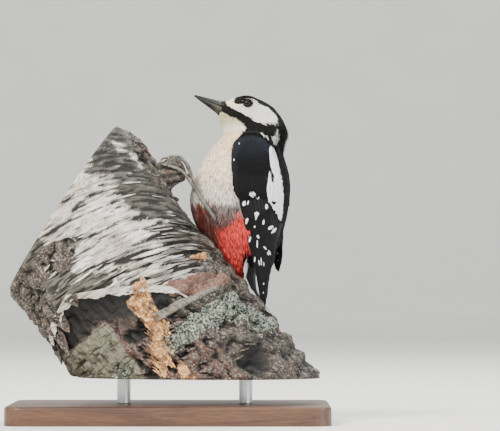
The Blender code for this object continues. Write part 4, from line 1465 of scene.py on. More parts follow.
def tail_place(height, across, level):
    """A point in the tail: height, mm from its middle, and level from -1 under it to 1 on top."""
    x, half, thick, droop, turn = (read(TAIL, height, k) for k in (1, 2, 3, 4, 5))
    k = np.clip(across / half, -1, 1)
    x = x - droop * k ** 2 + thick / 2 * (1 - 0.45 * k ** 2) * level
    square = np.stack([x, across, height], axis=-1).reshape(-1, 3)
    return posed(square, 0.0, turn.reshape(-1)).reshape(*height.shape, 3)


def tail_feather(hand, pair):
    s = np.linspace(0, 1, STATIONS)
    height = TAIL_ROOT + (TAIL_TIPS[pair] - TAIL_ROOT) * s
    half_tail = read(TAIL, height, 2)
    share = np.interp(s, (0, 0.5, 1), (0.08 + 0.13 * pair, 0.1 + 0.15 * pair, 0.22 + 0.13 * pair))
    profile = 3.0 * np.interp(s, (0, 0.2, 0.65, 0.9, 1), (0.6, 0.9, 1.0, 0.6, 0.06))
    lanes = np.array(LANES)
    from_shaft = np.abs(lanes)
    across = (half_tail * share)[:, None] + profile[:, None] * lanes
    across = hand * np.clip(across, -half_tail[:, None], half_tail[:, None])
    height_grid = height[:, None] + profile[:, None] * 0.5 * (0.5 - from_shaft)
    level = 0.85 - 0.3 * pair - 0.12 * from_shaft + 0.08 * (from_shaft < 0.1) + 0 * s[:, None]
    shape = height_grid.shape
    from_tip = height_grid - TAIL_TIPS[pair]
    barred = (from_tip % 8.0 < 2.6) & (from_tip > 3) & (lanes < 0.1)
    white = (pair >= 3) & ~barred & (from_tip < (5, 20, 32)[max(pair - 3, 0)])
    tint = np.where(white[..., None], tone("#dcdad6"), tone("#0e0e10"))
    return {"outer": tail_place(height_grid, across, level),
            "inner": tail_place(height_grid, across, level - 0.2),
            "attributes": {"vane": vane_map(shape, s), "tint": tint,
                           "wing_map": np.full((*shape, 3), -99.0), "spotted": np.zeros(shape)}}


tail_vanes = [tail_feather(hand, pair) for pair in range(5, -1, -1) for hand in (-1, 1)]
tail_piece = join_vanes("tail_feathers", tail_vanes, flight)
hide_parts("tail")
print("tail feathers", len(tail_vanes))

# %% [markdown]
# ## Bill, eyes and claws
# The bill is a straight chisel in two halves: slate grey with a ridge along the top and a lower ridge along
# each side, paler at its base, and olive grey below. A grey line along the top ridge, lighter than the bill
# over most of its length, is a painted reflection of the sky. A formula gives its surface from two numbers,
# the share of the length and the angle round it, so the ridges run true from base to tip, which is hard to
# carve by hand. Short black bristles cover the nostrils; they are feather vanes, only very narrow.

# %% Bill
BILL_LENGTH = float(np.linalg.norm(BILL_BASE - BILL_TIP))
BILL_DEPTH, BILL_HALF = {1: 5.5, -1: 4.9}, 4.6


def head_places(back, up, out):
    """Posed places from the head's own axes, measured from the bill's base."""
    back, up, out = np.broadcast_arrays(np.asarray(back, float), up, out)
    square = BILL_BASE + back[..., None] * HEAD_BACK + up[..., None] * HEAD_UP
    square = square + out[..., None] * (0.0, 1.0, 0.0)
    return posed(square.reshape(-1, 3), 1.0).reshape(*back.shape, 3)


def bill_surface(half, t, angle, lift=0.0):
    """A place on one half of the bill: share of its length, and angle from the left edge to the right."""
    t, angle, lift = np.broadcast_arrays(np.asarray(t, float), angle, lift)
    slim = np.clip(1 - np.maximum(t, 0), 0, 1)
    height = BILL_DEPTH[half] * slim ** 0.92 + 0.5 * t.clip(0)
    width = BILL_HALF * slim ** 0.85 + 0.5 * t.clip(0)
    outside = angle <= np.pi + 1e-6
    rise = np.where(outside, np.abs(np.sin(angle)) ** 0.8, 0.15 * np.abs(np.sin(angle)))
    fade = np.clip(1 - t, 0, 1)

    def along_both_sides(at, half_wide):
        return sum(np.exp(-((angle - a) / half_wide) ** 2) for a in (at, np.pi - at)) * fade * (half > 0)

    culmen = 0.10 * np.exp(-((angle - np.pi / 2) / 0.2) ** 2) * fade
    ridge, groove = 0.07 * along_both_sides(0.62, 0.13), 0.06 * along_both_sides(0.95, 0.16)
    reach = 1 + np.where(outside, ridge - groove, 0)
    up = half * (0.12 + (rise * reach + np.where(outside, culmen, 0)) * height + lift * rise)
    return head_places(-t * BILL_LENGTH, up, (np.cos(angle) * reach) * width + lift * np.cos(angle))


def closed_loft(grid):
    """Points and faces of a tube of rings, closed at both ends."""
    ends = [[grid[0].mean(axis=0)], [grid[-1].mean(axis=0)]]
    return np.concatenate([grid.reshape(-1, 3), *ends]), loft_faces(*grid.shape[:2])


def bill_material():
    made, tree, shader = material("bill horn", 0.48, Specular_IOR_Level=0.3)
    along, around, half = parts_of(tree, attribute(tree, "horn", "Vector"))
    fibre = clouds(tree, joined(tree, times(tree, along, 4.0), times(tree, around, 40.0), half), detail=4.0)
    upper = ramp(tree, along, (0.0, "#34373a"), (0.25, "#26282b"), (0.7, "#151618"), (1.0, "#0a0a0b"))
    lower = ramp(tree, along, (0.0, "#434232"), (0.22, "#27261d"), (0.42, "#100e09"), (0.6, "#0f100e"),
                 (1.0, "#090909"))
    # Painted reflection: a grey line along the top ridge, lighter than the bill over most of its length.
    from_ridge = math_node(tree, "ABSOLUTE", math_node(tree, "SUBTRACT", around, 0.25))
    on_ridge = times(tree, ramp(tree, from_ridge, (0.0, 0.5), (0.06, 0.0)), half)
    colour = mix(tree, on_ridge, mix(tree, half, lower, upper), "#2d2e31")
    streaks = ramp(tree, fibre, (0.3, 0.72), (0.7, 1.2))
    coloured(tree, shader, mix(tree, 1.0, colour, streaks, "MULTIPLY"))
    bump(tree, shader, fibre, 0.00012, 0.5)
    return made


bill_horn = bill_material()
t_rows = np.concatenate([np.linspace(-0.12, 0.9, 40), np.linspace(0.92, 1.0, 6)])[:, None]
round_it = np.linspace(0, 2 * np.pi, 64, endpoint=False)[None, :]
for half, cad_name in ((1, "upper_bill"), (-1, "lower_bill")):
    points, faces = closed_loft(bill_surface(half, t_rows, round_it))
    made = mesh_object(cad_name + "_horn", points * MM, faces, bill_horn)
    facing_out(made)
    upper = (half + 1) / 2
    horn_map = np.stack(np.broadcast_arrays(t_rows.clip(0), round_it / (2 * np.pi), upper), axis=-1)
    paint(made, "horn", np.concatenate([horn_map.reshape(-1, 3), [[0, 0.6, upper], [1, 0.6, upper]]]))
    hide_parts(cad_name)
    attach(made, "root")
    print(made.name, len(made.data.polygons), "faces")

# %% Bristles over the nostrils and at the gape
BRISTLES, BRISTLE_WIDTH = 420, 0.34
above = random.random(BRISTLES) < 0.72


def above_or_below(high, low):
    """Numbers by chance between two bounds, with other bounds for bristles above and below."""
    return np.where(above, random.uniform(*high, BRISTLES), random.uniform(*low, BRISTLES))


bristle_angle = above_or_below((0.05, np.pi - 0.05), (0.2, np.pi - 0.2))
begin = random.uniform(-0.10, 0.03, BRISTLES)
reach = above_or_below((0.10, 0.2), (0.06, 0.12))
reach = reach * np.where(np.abs(bristle_angle - np.pi / 2) < 0.45, 0.6, 1.0)
stations = [np.where(above[:, None], *(bill_surface(half, begin + reach * step, bristle_angle, lift)
                                       for half in (1, -1)))
            for step, lift in ((0, -0.1), (0.35, 0.4), (0.7, 0.5), (1.0, 0.35))]
middle = head_places(-(begin + reach * 0.5) * BILL_LENGTH, 0 * begin, 0 * begin)
outwards = [normalised(stations[1] - middle)] * 4
grey_ones = (random.random(BRISTLES) < 0.2)[:, None]
bristle_tints = np.where(grey_ones, tone("#7f786b"), tone("#14110f"))
widths, patches = np.full(BRISTLES, BRISTLE_WIDTH), np.stack([bristle_angle / np.pi, begin + 0.5], axis=1)
feather_mesh("nostril_bristles", stations, outwards, ways_between(stations), widths, (0.9, 0.7),
             bristle_tints, random.random(BRISTLES), patches, body_plumage)
print("bristles:", BRISTLES)

# %% [markdown]
# Each eye is a whole ball with a bulging front, a dark reddish iris and a black pupil. A ball with
# its pole in the line of sight makes pupil and iris simple rings, coloured by the angle from the pole. Its
# very smooth surface gives the wet glint that makes an eye look alive. The lid is a rolled rim on the ball,
# dark and finely folded, and then a sheet that runs back under the plumage, so that no gap shows between
# eye and feathers.

# %% Eyes and lids
def eye_material():
    made, tree, shader = material("woodpecker eye", 0.03, IOR=1.38, Specular_IOR_Level=0.28)
    away, around, _ = parts_of(tree, attribute(tree, "gaze", "Vector"))
    rays = clouds(tree, joined(tree, times(tree, away, 4.0), times(tree, around, 26.0)))
    coloured(tree, shader, washed(tree, "#120705", (rays, (0.3, 0.0), (0.7, 1.0), "#2c140c"),
                                  (away, (0.50, 1.0), (0.53, 0.0), "#020202"),
                                  (away, (0.66, 0.0), (0.74, 1.0), "#120b09")))
    return made


def lid_material():
    made, tree, shader = material("eyelid skin", 0.6, Specular_IOR_Level=0.25)
    wrinkles = clouds(tree, own_place(tree), 0.0004)
    dark = ramp(tree, wrinkles, (0.35, "#0a090b"), (0.7, "#1b191c"))
    coloured(tree, shader, mix(tree, attribute(tree, "pale"), dark, "#85868c"))
    bump(tree, shader, wrinkles, 0.0001, 0.7)
    return made


def eye_axes(side, hand):
    """An eye's line of sight, the way back along the head from it, and the way up."""
    out = eye_ways[side]
    back = normalised(head_place(EYE_BACK + 1, EYE_UP, hand * EYE_OUT) - eyes[side])
    back = normalised(back - out * (back @ out))
    up_way = np.cross(out, back)
    return out, back, up_way * np.sign(up_way[2])


def eye_ball(side, hand, surface):
    out, back, up_way = eye_axes(side, hand)
    theta = np.linspace(0.02, np.pi - 0.02, 40)[:, None]
    phi = np.linspace(0, 2 * np.pi, 56, endpoint=False)[None, :]
    radius = EYE_RADIUS + 0.3 * np.exp(-((theta / 0.6) ** 2)) + 0 * phi
    ring = np.cos(phi)[..., None] * back + np.sin(phi)[..., None] * up_way
    grid = eyes[side] + (radius * np.cos(theta))[..., None] * out
    grid = grid + (radius * np.sin(theta))[..., None] * ring
    points, faces = closed_loft(grid)
    ball = mesh_object(side + "_eye_ball", points * MM, faces, surface)
    gaze = np.stack(np.broadcast_arrays(theta, np.abs(np.sin(phi / 2)), 0.0), axis=-1).reshape(-1, 3)
    paint(ball, "gaze", np.concatenate([gaze, [[0, 0, 0], [np.pi, 0, 0]]]))
    return ball


# Across the lid, from the rim to under the plumage: how far it spreads and lifts off the ball, in mm.
LID_PROFILE = np.array([(0.0, -0.35), (-0.25, 0.0), (-0.32, 0.3), (-0.1, 0.5), (0.3, 0.45), (0.8, 0.1),
                        (1.2, -0.3), (1.5, -0.9), (1.3, -1.3), (0.9, -0.9)])
LID_LEAN, LID_HALF_LONG, UPPER_LID, LOWER_LID = 0.1, 3.5, 2.45, 2.8


def eyelids(side, hand, surface):
    """A ring of lid round the eye; it leans with the head and is drawn out to a corner in front."""
    out, back, up_way = eye_axes(side, hand)
    out = normalised(out + LID_LEAN * up_way)
    up_way = normalised(up_way - out * (up_way @ out))
    phi = np.linspace(0, 2 * np.pi, 96, endpoint=False)[None, :]
    spread, lift = LID_PROFILE[:, 0][:, None], LID_PROFILE[:, 1][:, None]
    folds = 1 + 0.10 * np.sin(phi * 30) * smoothstep(-0.4, 0.5, spread)
    corner = np.where(np.cos(phi) > 0, 0.4, -1.0) * np.abs(np.cos(phi)) ** 7
    a = (LID_HALF_LONG + spread) * np.cos(phi) + corner - 0.3
    half_high = np.where(np.sin(phi) > 0, UPPER_LID, LOWER_LID)
    b = (half_high + spread * 0.85) * np.sin(phi) + 0.35 * np.cos(phi) - 0.15
    flat = np.hypot(a, b)
    ball = EYE_RADIUS + 0.22 + lift * folds
    depth = np.sqrt(np.maximum(ball ** 2 - flat ** 2, 0.16)) - np.maximum(flat - ball, 0) * 0.6
    ring = eyes[side] + depth[..., None] * out + a[..., None] * back + b[..., None] * up_way
    rows, columns = flat.shape
    i, k = np.meshgrid(np.arange(rows), np.arange(columns), indexing="ij")
    n, m = (i + 1) % rows, (k + 1) % columns
    faces = np.stack([i * columns + k, i * columns + m, n * columns + m, n * columns + k], axis=-1)
    lid = mesh_object(side + "_eyelids", ring.reshape(-1, 3) * MM, faces.reshape(-1, 4).tolist(), surface)
    pale = smoothstep(0.45, 0.8, np.sin(phi) + 0.1) * smoothstep(0.1, 0.45, spread)
    paint(lid, "pale", pale.ravel())
    return lid


eye_surface, lid_skin = eye_material(), lid_material()
for side, hand in WINGS:
    ball = eye_ball(side, hand, eye_surface)
    facing_out(ball)
    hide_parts(side + "_eye")
    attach(ball, "root")
    lid = eyelids(side, hand, lid_skin)
    facing_out(lid)
    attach(lid, "root")
    print(ball.name, len(ball.data.polygons), lid.name, len(lid.data.polygons), "faces")

# %% [markdown]
# The claws are hooked horn, dark grey and a little glossy. The solid model has their size and their place
# in the bark but only flat facets, so they are smoothed by two levels of subdivision and swollen by the
# little that subdivision takes away.

# %% Claws
def claw_material():
    made, tree, shader = material("claw horn", 0.32, Coat_Weight=0.2)
    worn = clouds(tree, own_place(tree), 0.0008)
    coloured(tree, shader, ramp(tree, worn, (0.3, "#1f1e1d"), (0.7, "#4b4843")))
    bump(tree, shader, worn, 0.00005, 0.5)
    return made


claw_nodes = [f"{side}_{toe}_toe_claw" for side, _ in WINGS for toe in ("inner", "middle", "outer", "hind")]
claws = merged_copy(claw_nodes, "claws")
apply_modifier(claws, "SUBSURF", levels=2, render_levels=2)
grow(claws, 0.07 * MM)
dress(claws, claw_material())
claws.data.shade_smooth()
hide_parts(*claw_nodes)
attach(claws, "root")
print("claws", len(claws.data.polygons), "faces")

# %% [markdown]
# ## The birch trunk
# The perch is a short length of old leaning birch. Its shape is a bent tube given by a radius at each
# height and angle, so the bark is made the same way: a fine grid over the tube, pushed in and out by what
# grows there. The upper side is white papery bark with dark slits, the lenticels; lower down and on the
# ridge it is grey, cracked and folded; on the left the bark has torn and shows a hollow and fresh orange
# wood. The hollow is painted near black just under the torn lip, as painted shadow.

# %% The trunk's own axes and radius
LEAN = math.radians(50.33)
AXIS = np.array([-math.cos(LEAN), 0, math.sin(LEAN)])
OUTWARD = np.array([math.sin(LEAN), 0, math.cos(LEAN)])
ACROSS = np.array([0.0, 1.0, 0.0])
TRUNK_RADIUS = 68.0
TRUNK_START = np.array([69.0, 0.0, 84.4]) - OUTWARD * TRUNK_RADIUS
TRUNK_FOOT_Z = 33.0
TOP_POINT, TOP_NORMAL = np.array([-40.8, 0, 216.8]), np.array([-0.836, 0, 0.549])
STUB_UP, KNUCKLE_UP = 122.0, 152.0
DEGREE_MM = 1.17  # one degree round the trunk, measured over the bark
# The torn edge of the bark: the angle from the ridge, and how far up the trunk the tear runs.
TEAR = np.array([(-178, 74), (-150, 84), (-121, 93.5), (-100, 80), (-80, 64), (-66, 50), (-56, 20)], float)
TEAR_ANGLE = -112.0


def hashed(cells, seed):
    """A repeatable number from -1 to 1 for each whole-numbered cell."""
    n = cells[..., 0] * 374761393 + cells[..., 1] * 668265263 + cells[..., 2] * 2147483647 + seed * 974634777
    n = (n ^ (n >> 13)) * 1274126177
    return ((n ^ (n >> 16)) & 0xFFFF) / 32767.5 - 1


def cloud(points, size, octaves=3, seed=1):
    """Smooth noise from -1 to 1 with blobs of a size in mm, one size or one for each axis."""
    total, strength, places = 0.0, 0.5, points / np.asarray(size, float)
    for octave in range(octaves):
        cells = np.floor(places).astype(np.int64)
        f = places - cells
        f = f * f * (3 - 2 * f)
        value = 0.0
        for dx in (0, 1):
            for dy in (0, 1):
                for dz in (0, 1):
                    share = (np.where(dx, f[..., 0], 1 - f[..., 0]) * np.where(dy, f[..., 1], 1 - f[..., 1])
                             * np.where(dz, f[..., 2], 1 - f[..., 2]))
                    value = value + share * hashed(cells + (dx, dy, dz), seed + octave)
        total = total + value * strength
        strength *= 0.5
        places = places * 2.03 + 11.7
    return total * 1.3


def trunk_radius(up, degrees):
    """Radius of the trunk without its bark's detail; the angle runs from the ridge, negative on the left."""
    angle = np.radians(degrees)
    side = 1 - np.exp(-((angle / 0.9) ** 2))
    waves = 2.3 * np.sin(up / 31 + 1.0) * np.cos(angle - 2.2) + 2.0 * np.sin(up / 47 + 2 * angle)
    collar = 4.0 * np.exp(-(((up - STUB_UP) / 17) ** 2) - (angle / 0.32) ** 2)
    knuckle = 8.0 * np.exp(-(((up - KNUCKLE_UP) / 20) ** 2) - (angle / 0.55) ** 2)
    edge = read(TEAR, degrees)
    torn = np.exp(-(((degrees - TEAR_ANGLE) / 42) ** 4))
    below = 1 / (1 + np.exp(np.clip((up - edge) / 3.5, -50, 50)))
    hollow = 5.0 * torn * below * (0.5 + 0.5 * np.exp(-(((edge - up - 14) / 24) ** 2)))
    lip = 2.2 * torn * np.exp(-(((up - edge - 7) / 10) ** 2))
    return TRUNK_RADIUS + waves * side + collar + knuckle - hollow + lip


def trunk_place(up, degrees, lift=0.0):
    up, degrees, lift = np.broadcast_arrays(up, degrees, lift)
    turn = np.radians(degrees)
    reach = trunk_radius(up, degrees) + lift
    return (TRUNK_START + up[..., None] * AXIS + (np.cos(turn) * reach)[..., None] * OUTWARD
            + (np.sin(turn) * reach)[..., None] * ACROSS)


def own_axes(points):
    """Points in the trunk's axes: outwards at the ridge, across, and up the trunk."""
    away = points - TRUNK_START
    return np.stack([away @ OUTWARD, away @ ACROSS, away @ AXIS], axis=-1)


def cut_height(along, point, normal):
    """How far up each column a flat cut lies, from a nearer guess each time."""
    out = (OUTWARD @ normal) * np.cos(np.radians(angles)) * trunk_radius(along, angles)
    return ((point - TRUNK_START) @ normal - out) / (AXIS @ normal)


# The grid: closer columns on the side of the tear, and rows from the level foot to the slanting saw cut.
COLUMNS, ROWS = 336, 250
angles = np.linspace(0, 1, COLUMNS, endpoint=False)
angles = -180 + 360 * (angles - 0.055 * np.sin(2 * np.pi * angles))
low, high = np.zeros(COLUMNS), np.full(COLUMNS, 150.0)
for _ in range(8):
    low = cut_height(low, np.array([0, 0, TRUNK_FOOT_Z]), np.array([0, 0, 1]))
    high = cut_height(high, TOP_POINT, TOP_NORMAL)
up = low + (high - low) * np.linspace(0, 1, ROWS)[:, None]
degrees = np.broadcast_to(angles, up.shape)
print("trunk grid", up.shape, "from", up.min().round(1), "to", up.max().round(1), "mm up")

# %% [markdown]
# Zones painted on the bark by hand are hard to change later; here each zone is a rule. A zone is either a
# band along a bent line, a blob round a place, or all that lies past an edge, and noise makes its border
# wander. The rules give each point of the grid a share of each kind of surface, and from the shares comes
# the relief.

# %% What grows where on the bark
# Lines on the bark: how far up, the angle, and the half width in mm.
WOOD_LINE = ((68, -83, 6), (61, -86.5, 9.5), (53, -88, 7.5), (46, -88, 4), (39, -89, 3), (28, -96, 7),
             (17, -101, 4), (8, -106, 1))
WOOD_PATCHES = (((62, -42, 2.5), (58, -30, 1.5)), ((8, -92, 2), (-4, -96, 6)))
PINK_LINE = ((56, -74, 3), (53, -65, 5.5), (46, -53, 7), (40, -40, 8), (35, -30, 4))
LICHEN_LINE = ((22, -88, 6), (24, -70, 8), (18, -41, 10), (2, -32, 9), (-12, -22, 8))
LEDGE_LINE = ((45, -88, 3.6), (41, -68, 3.2), (37, -55, 2.4), (33.5, -42, 1.6))
ARCH_RISE, ARCH_HALF = 0.0032, 125  # the arch's rise per square degree, and where it starts, in degrees


def blob(up, degrees, at_up, at_degrees, half_up, half_degrees):
    turned_by = (degrees - at_degrees + 180) % 360 - 180
    return np.exp(-((up - at_up) / half_up) ** 2 - (turned_by / half_degrees) ** 2)


def line_distance(up, degrees, line):
    """Distance in mm over the bark from a bent line's own width; negative on the line."""
    nearest = np.full(np.shape(up), 999.0)
    across = DEGREE_MM * ((degrees + 90 + 180) % 360 - 180)
    for (u0, a0, w0), (u1, a1, w1) in zip(line, line[1:]):
        x0, x1 = DEGREE_MM * (a0 + 90), DEGREE_MM * (a1 + 90)
        length2 = (u1 - u0) ** 2 + (x1 - x0) ** 2
        t = np.clip(((up - u0) * (u1 - u0) + (across - x0) * (x1 - x0)) / length2, 0, 1)
        away = np.hypot(up - u0 - t * (u1 - u0), across - x0 - t * (x1 - x0)) - (w0 + t * (w1 - w0))
        nearest = np.minimum(nearest, away)
    return nearest


def bark_zones(up, degrees, smooth):
    """Shares of bare wood, cracked bark, pink and pale inner bark, and what is torn; the rest is white."""
    wander = 7 * cloud(smooth, 22, 3, 5)
    torn = smoothstep(1.5, -1.5, up - read(TEAR, degrees) + 0.25 * wander)
    torn = torn * smoothstep(-67, -74, degrees + wander)
    ragged = 5.0 * cloud(smooth, (5, 5, 9), 4, 6)
    wood = smoothstep(1.2, -1.2, line_distance(up, degrees, WOOD_LINE) + ragged)
    for line in WOOD_PATCHES:
        wood = np.maximum(wood, smoothstep(1, -1, line_distance(up, degrees, line) + ragged))
    pale = torn * smoothstep(-113, -119, degrees + wander) * smoothstep(70, 60, up + 0.5 * wander)
    on_ridge = smoothstep(-30, 0, degrees) * smoothstep(60, 20, degrees)
    rough = np.maximum.reduce([
        smoothstep(4, -4, up - 52 + wander - 16 * on_ridge),
        smoothstep(0.35, 0.6, blob(up, degrees, 138, -2, 34, 26) + 0.02 * wander),
        smoothstep(124, 138, np.abs(degrees) + wander) * smoothstep(8, 0, up - 146 + wander),
        smoothstep(0.42, 0.6, blob(up, degrees, 124, -112, 12, 22) + 0.03 * wander),
        smoothstep(0.1, 0.35, cloud(smooth, 40, 3, 9) - 0.25) * (degrees > 30)])
    pink = smoothstep(1.2, -1.2, line_distance(up, degrees, PINK_LINE) + 0.5 * ragged)
    return wood, rough * (1 - wood), pink * (1 - wood), pale * (1 - wood), torn


def arch_height(degrees):
    return ARCH_RISE * np.clip(ARCH_HALF - np.abs(degrees), 0, ARCH_HALF) ** 2


def arched(points, degrees):
    """Places moved up the trunk so that what runs round it is drawn as the arches birch bark has."""
    rise = arch_height(degrees)
    return points + np.stack([0 * rise, 0 * rise, rise], axis=-1)


smooth_points = own_axes(trunk_place(up, degrees))
arch_points = arched(smooth_points, degrees)
wood, rough, pink, pale, torn = bark_zones(up, degrees, smooth_points)
white = np.clip(1 - rough - pink - pale - torn, 0, 1)
lichen = smoothstep(1.5, -1.5, line_distance(up, degrees, LICHEN_LINE) + 6 * cloud(smooth_points, 8, 3, 27))
strip_edge = smoothstep(1.0, -1.5, line_distance(up, degrees, LEDGE_LINE))
print("shares of the bark: white", white.mean().round(2), "cracked", rough.mean().round(2))

# %% Relief of the bark
dense = (0.06 + 0.1 * smoothstep(100, 78, up) + 0.1 * smoothstep(-100, -125, degrees)
         + 0.22 * smoothstep(-66, -44, degrees))
slits = cloud(arch_points, (13, 13, 1.5), 2, 21) + 0.3 * cloud(arch_points, 16, 2, 22) + dense
flaking = cloud(arch_points, (18, 18, 5), 2, 25) + dense
terrace = (arch_points[..., 2] / 6.5 + 1.3 * cloud(arch_points, (30, 30, 22), 3, 23)) % 1.0
under_ledge = smoothstep(0.90, 0.97, terrace) * smoothstep(-0.2, 0.1, flaking)
slit = np.maximum(smoothstep(0.17, 0.33, slits), under_ledge)
# Painted shade: along the ridge the moss share is raised, so the bark there is darkened with the moss
# colour.
shade_near_ridge = smoothstep(-64, -40, degrees) * smoothstep(52, 66, up) * smoothstep(80, 40, degrees)
moss_and_shade_tone = cloud(arch_points, (16, 16, 9), 4, 26) + 0.9 * smoothstep(-96, -128, degrees) - 0.25
moss = smoothstep(0.0, 0.5, moss_and_shade_tone + 0.5 * blob(up, degrees, 98, -112, 16, 18) + 0.9 * shade_near_ridge)
plates = np.abs(cloud(arch_points, (8, 8, 15), 4, 31))
cracks = smoothstep(0.13, 0.0, plates)
folds = np.sin(up / 2.6 + 2.4 * cloud(smooth_points, 24, 3, 32)) * smoothstep(60, 44, up)
fibres = cloud(smooth_points, (1.3, 1.3, 16), 3, 41)
KNOT_UP, KNOT_ANGLE = -24, -52
knot = blob(up, degrees, KNOT_UP, KNOT_ANGLE, 13, 13)
rim = np.hypot((up - KNOT_UP) / 15, (degrees - KNOT_ANGLE) / 15)
rim = np.exp(-((rim - 1.05) / 0.28) ** 2)
relief = white * (0.9 * terrace ** 3 - 1.0 * slit + 0.35 * cloud(smooth_points, 9, 3, 24))
relief = relief + rough * (1.3 * folds * (1 - knot) + 6.8 * np.minimum(plates - 0.15, 0.28) - 1.6 * cracks
                           + 1.3 * cloud(arch_points, (3.4, 3.4, 9), 3, 33)
                           + 0.5 * cloud(smooth_points, 1.8, 1, 36) + 2.2 * rim)
relief = relief + pink * 0.7 * cloud(smooth_points, 3, 3, 34)
relief = relief + pale * 0.3 * cloud(smooth_points, (2, 2, 14), 3, 35)
relief = relief + wood * (1.1 * fibres + 0.8 * cloud(smooth_points, 6, 3, 42)
                          + 1.6 * (1 + cloud(smooth_points, (2.2, 2.2, 7), 3, 43)))
bare = torn * (1 - pale)
relief = relief + bare * (1.6 * fibres + 3.4 * cloud(smooth_points, (7, 7, 13), 3, 42) - 1.2 * cracks)
relief = relief - 6.5 * knot + 2.8 * strip_edge

# The bark keeps clear of the bird's feet, belly and tail, and fades out at the two saw cuts.
bird_tree = frame_tree("trunk", "left_thigh", "right_thigh", "tail", "left_foot", "right_foot", *claw_nodes)
clear = room_to(bird_tree, trunk_place(up, degrees).reshape(-1, 3), 25.0).reshape(up.shape)
relief = np.clip(relief, -(0.35 + 0.4 * clear), np.maximum(clear - 0.45, -0.6))
ends = np.minimum(up - low, high - up)
relief = relief * smoothstep(0.0, 3.0, ends) - 0.4 * smoothstep(2.0, 0.0, ends)
print("bark relief from", relief.min().round(1), "to", relief.max().round(1), "mm")

# %% [markdown]
# The grid becomes a mesh as it is, one ring of points after another. The saw cuts are closed by rings that
# shrink to the middle, because one large many-sided face would shade badly. The shares of each zone go
# along as painted values, so that the shader can blend the kinds of surface.

# %% The bark's mesh, closed by two sawn faces
CAP_RINGS = 9
ZONES = ("wood", "rough", "pink", "pale", "torn", "slit", "cavity", "hollow", "sawn", "moss", "lichen",
         "ledge")


def cap_rings(rim_points, centre):
    shares = np.linspace(1, 0, CAP_RINGS + 1)[1:-1]
    return [centre + (rim_points - centre) * share for share in shares]


def trunk_mesh():
    rows = trunk_place(up, degrees, relief)
    middles = [rows[0].mean(axis=0), rows[-1].mean(axis=0)]
    rings = [*cap_rings(rows[0], middles[0])[::-1], *rows, *cap_rings(rows[-1], middles[1])]
    return np.concatenate([*rings, middles]), loft_faces(len(rings), COLUMNS)


def on_caps(values, level=0.0):
    """Values on the bark's grid, continued with one level over the sawn faces and their middles."""
    values = values.reshape(up.size, -1)
    cap = np.full(((CAP_RINGS - 1) * COLUMNS, values.shape[1]), level)
    whole = np.concatenate([cap, values, cap, cap[:2]])
    return whole[:, 0] if values.shape[1] == 1 else whole


points, faces = trunk_mesh()
trunk = mesh_object("birch_trunk", points * MM, faces)
facing_out(trunk)
# Painted shade: the cracks and low places of cork and torn wood, and the knot's pit, get a share that
# darkens them.
deep = 0.8 * cracks + 0.8 * smoothstep(-0.2, -2.2, relief)
cavity = rough * (cracks + 0.5 * smoothstep(0.1, -1.6, relief)) + bare * deep + knot * rough * 0.6
# Painted shadow: the hollow is darkest a little below the torn edge, where the lip's shadow falls.
hollow = 1.8 * bare * np.exp(-(((read(TEAR, degrees) - up - 9) / 15) ** 2))
for name, values in (("wood", wood), ("rough", rough), ("pink", pink), ("pale", pale), ("torn", bare),
                     ("slit", slit * white), ("cavity", np.clip(cavity, 0, 1)),
                     ("hollow", np.clip(hollow, 0, 1)), ("moss", moss), ("lichen", lichen),
                     ("ledge", strip_edge), ("arch", arch_points * MM)):
    paint(trunk, name, on_caps(values))
paint(trunk, "sawn", on_caps(np.zeros_like(up), 1.0))
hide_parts("perch_trunk")
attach(trunk, "root")
print("birch trunk faces", len(trunk.data.polygons))

# %% [markdown]
# Birch bark is layers of thin white paper over a brown corky layer. The shader mixes by zone: white paper
# with grey clouds and near-black slits; cracked grey-brown cork with green-grey algae, whose cracks and low
# places are painted near black as shade; brown-pink inner bark; yellow-orange fresh wood with fibres up the
# trunk; dark damp wood in the hollow, painted near black just under the torn lip as its shadow. The dark
# moss colour also paints shade along the ridge. The pattern's axes are turned to the trunk's, so that slits
# run round it and fibres along it.

# %% Birch bark material
WOOD_RADIUS, RING_WIDTH = 0.0625, 0.0026  # of the wood on a sawn face, and of a year's growth, in metres


def sawn_wood(tree, place, broad, medium, fine):
    """End grain: rings round the trunk's axis, made uneven by two noises, inside a rim of brown bark."""
    from_axis = node(tree, "ShaderNodeMapping", {
        "Vector": place, "Location": tuple(TRUNK_START * MM), "Rotation": (0, -(math.pi / 2 - LEAN), 0)},
        vector_type="TEXTURE").outputs[0]
    x, y, _ = parts_of(tree, from_axis)
    radius = node(tree, "ShaderNodeVectorMath", {0: joined(tree, x, y)}, operation="LENGTH").outputs["Value"]
    wavy = times_plus(tree, broad, 0.014, times_plus(tree, medium, 0.003, radius))
    uneven = times_plus(tree, math_node(tree, "SINE", times(tree, wavy, 410.0)), 0.0011, wavy)
    rings = math_node(tree, "SINE", times(tree, uneven, FULL_TURN / RING_WIDTH))
    return washed(tree, "#cba980", (rings, (0.2, 0.0), (1.0, 0.8), "#a67c52"),
                  (broad, (0.4, 0.0), (0.7, 0.5), "#b08a66"),
                  (radius, (WOOD_RADIUS, 0.0), (WOOD_RADIUS + 0.001, 1.0), "#6b3f2a"),
                  (fine, (0.3, 0.3), (0.7, 0.0), "#7d5a38"))


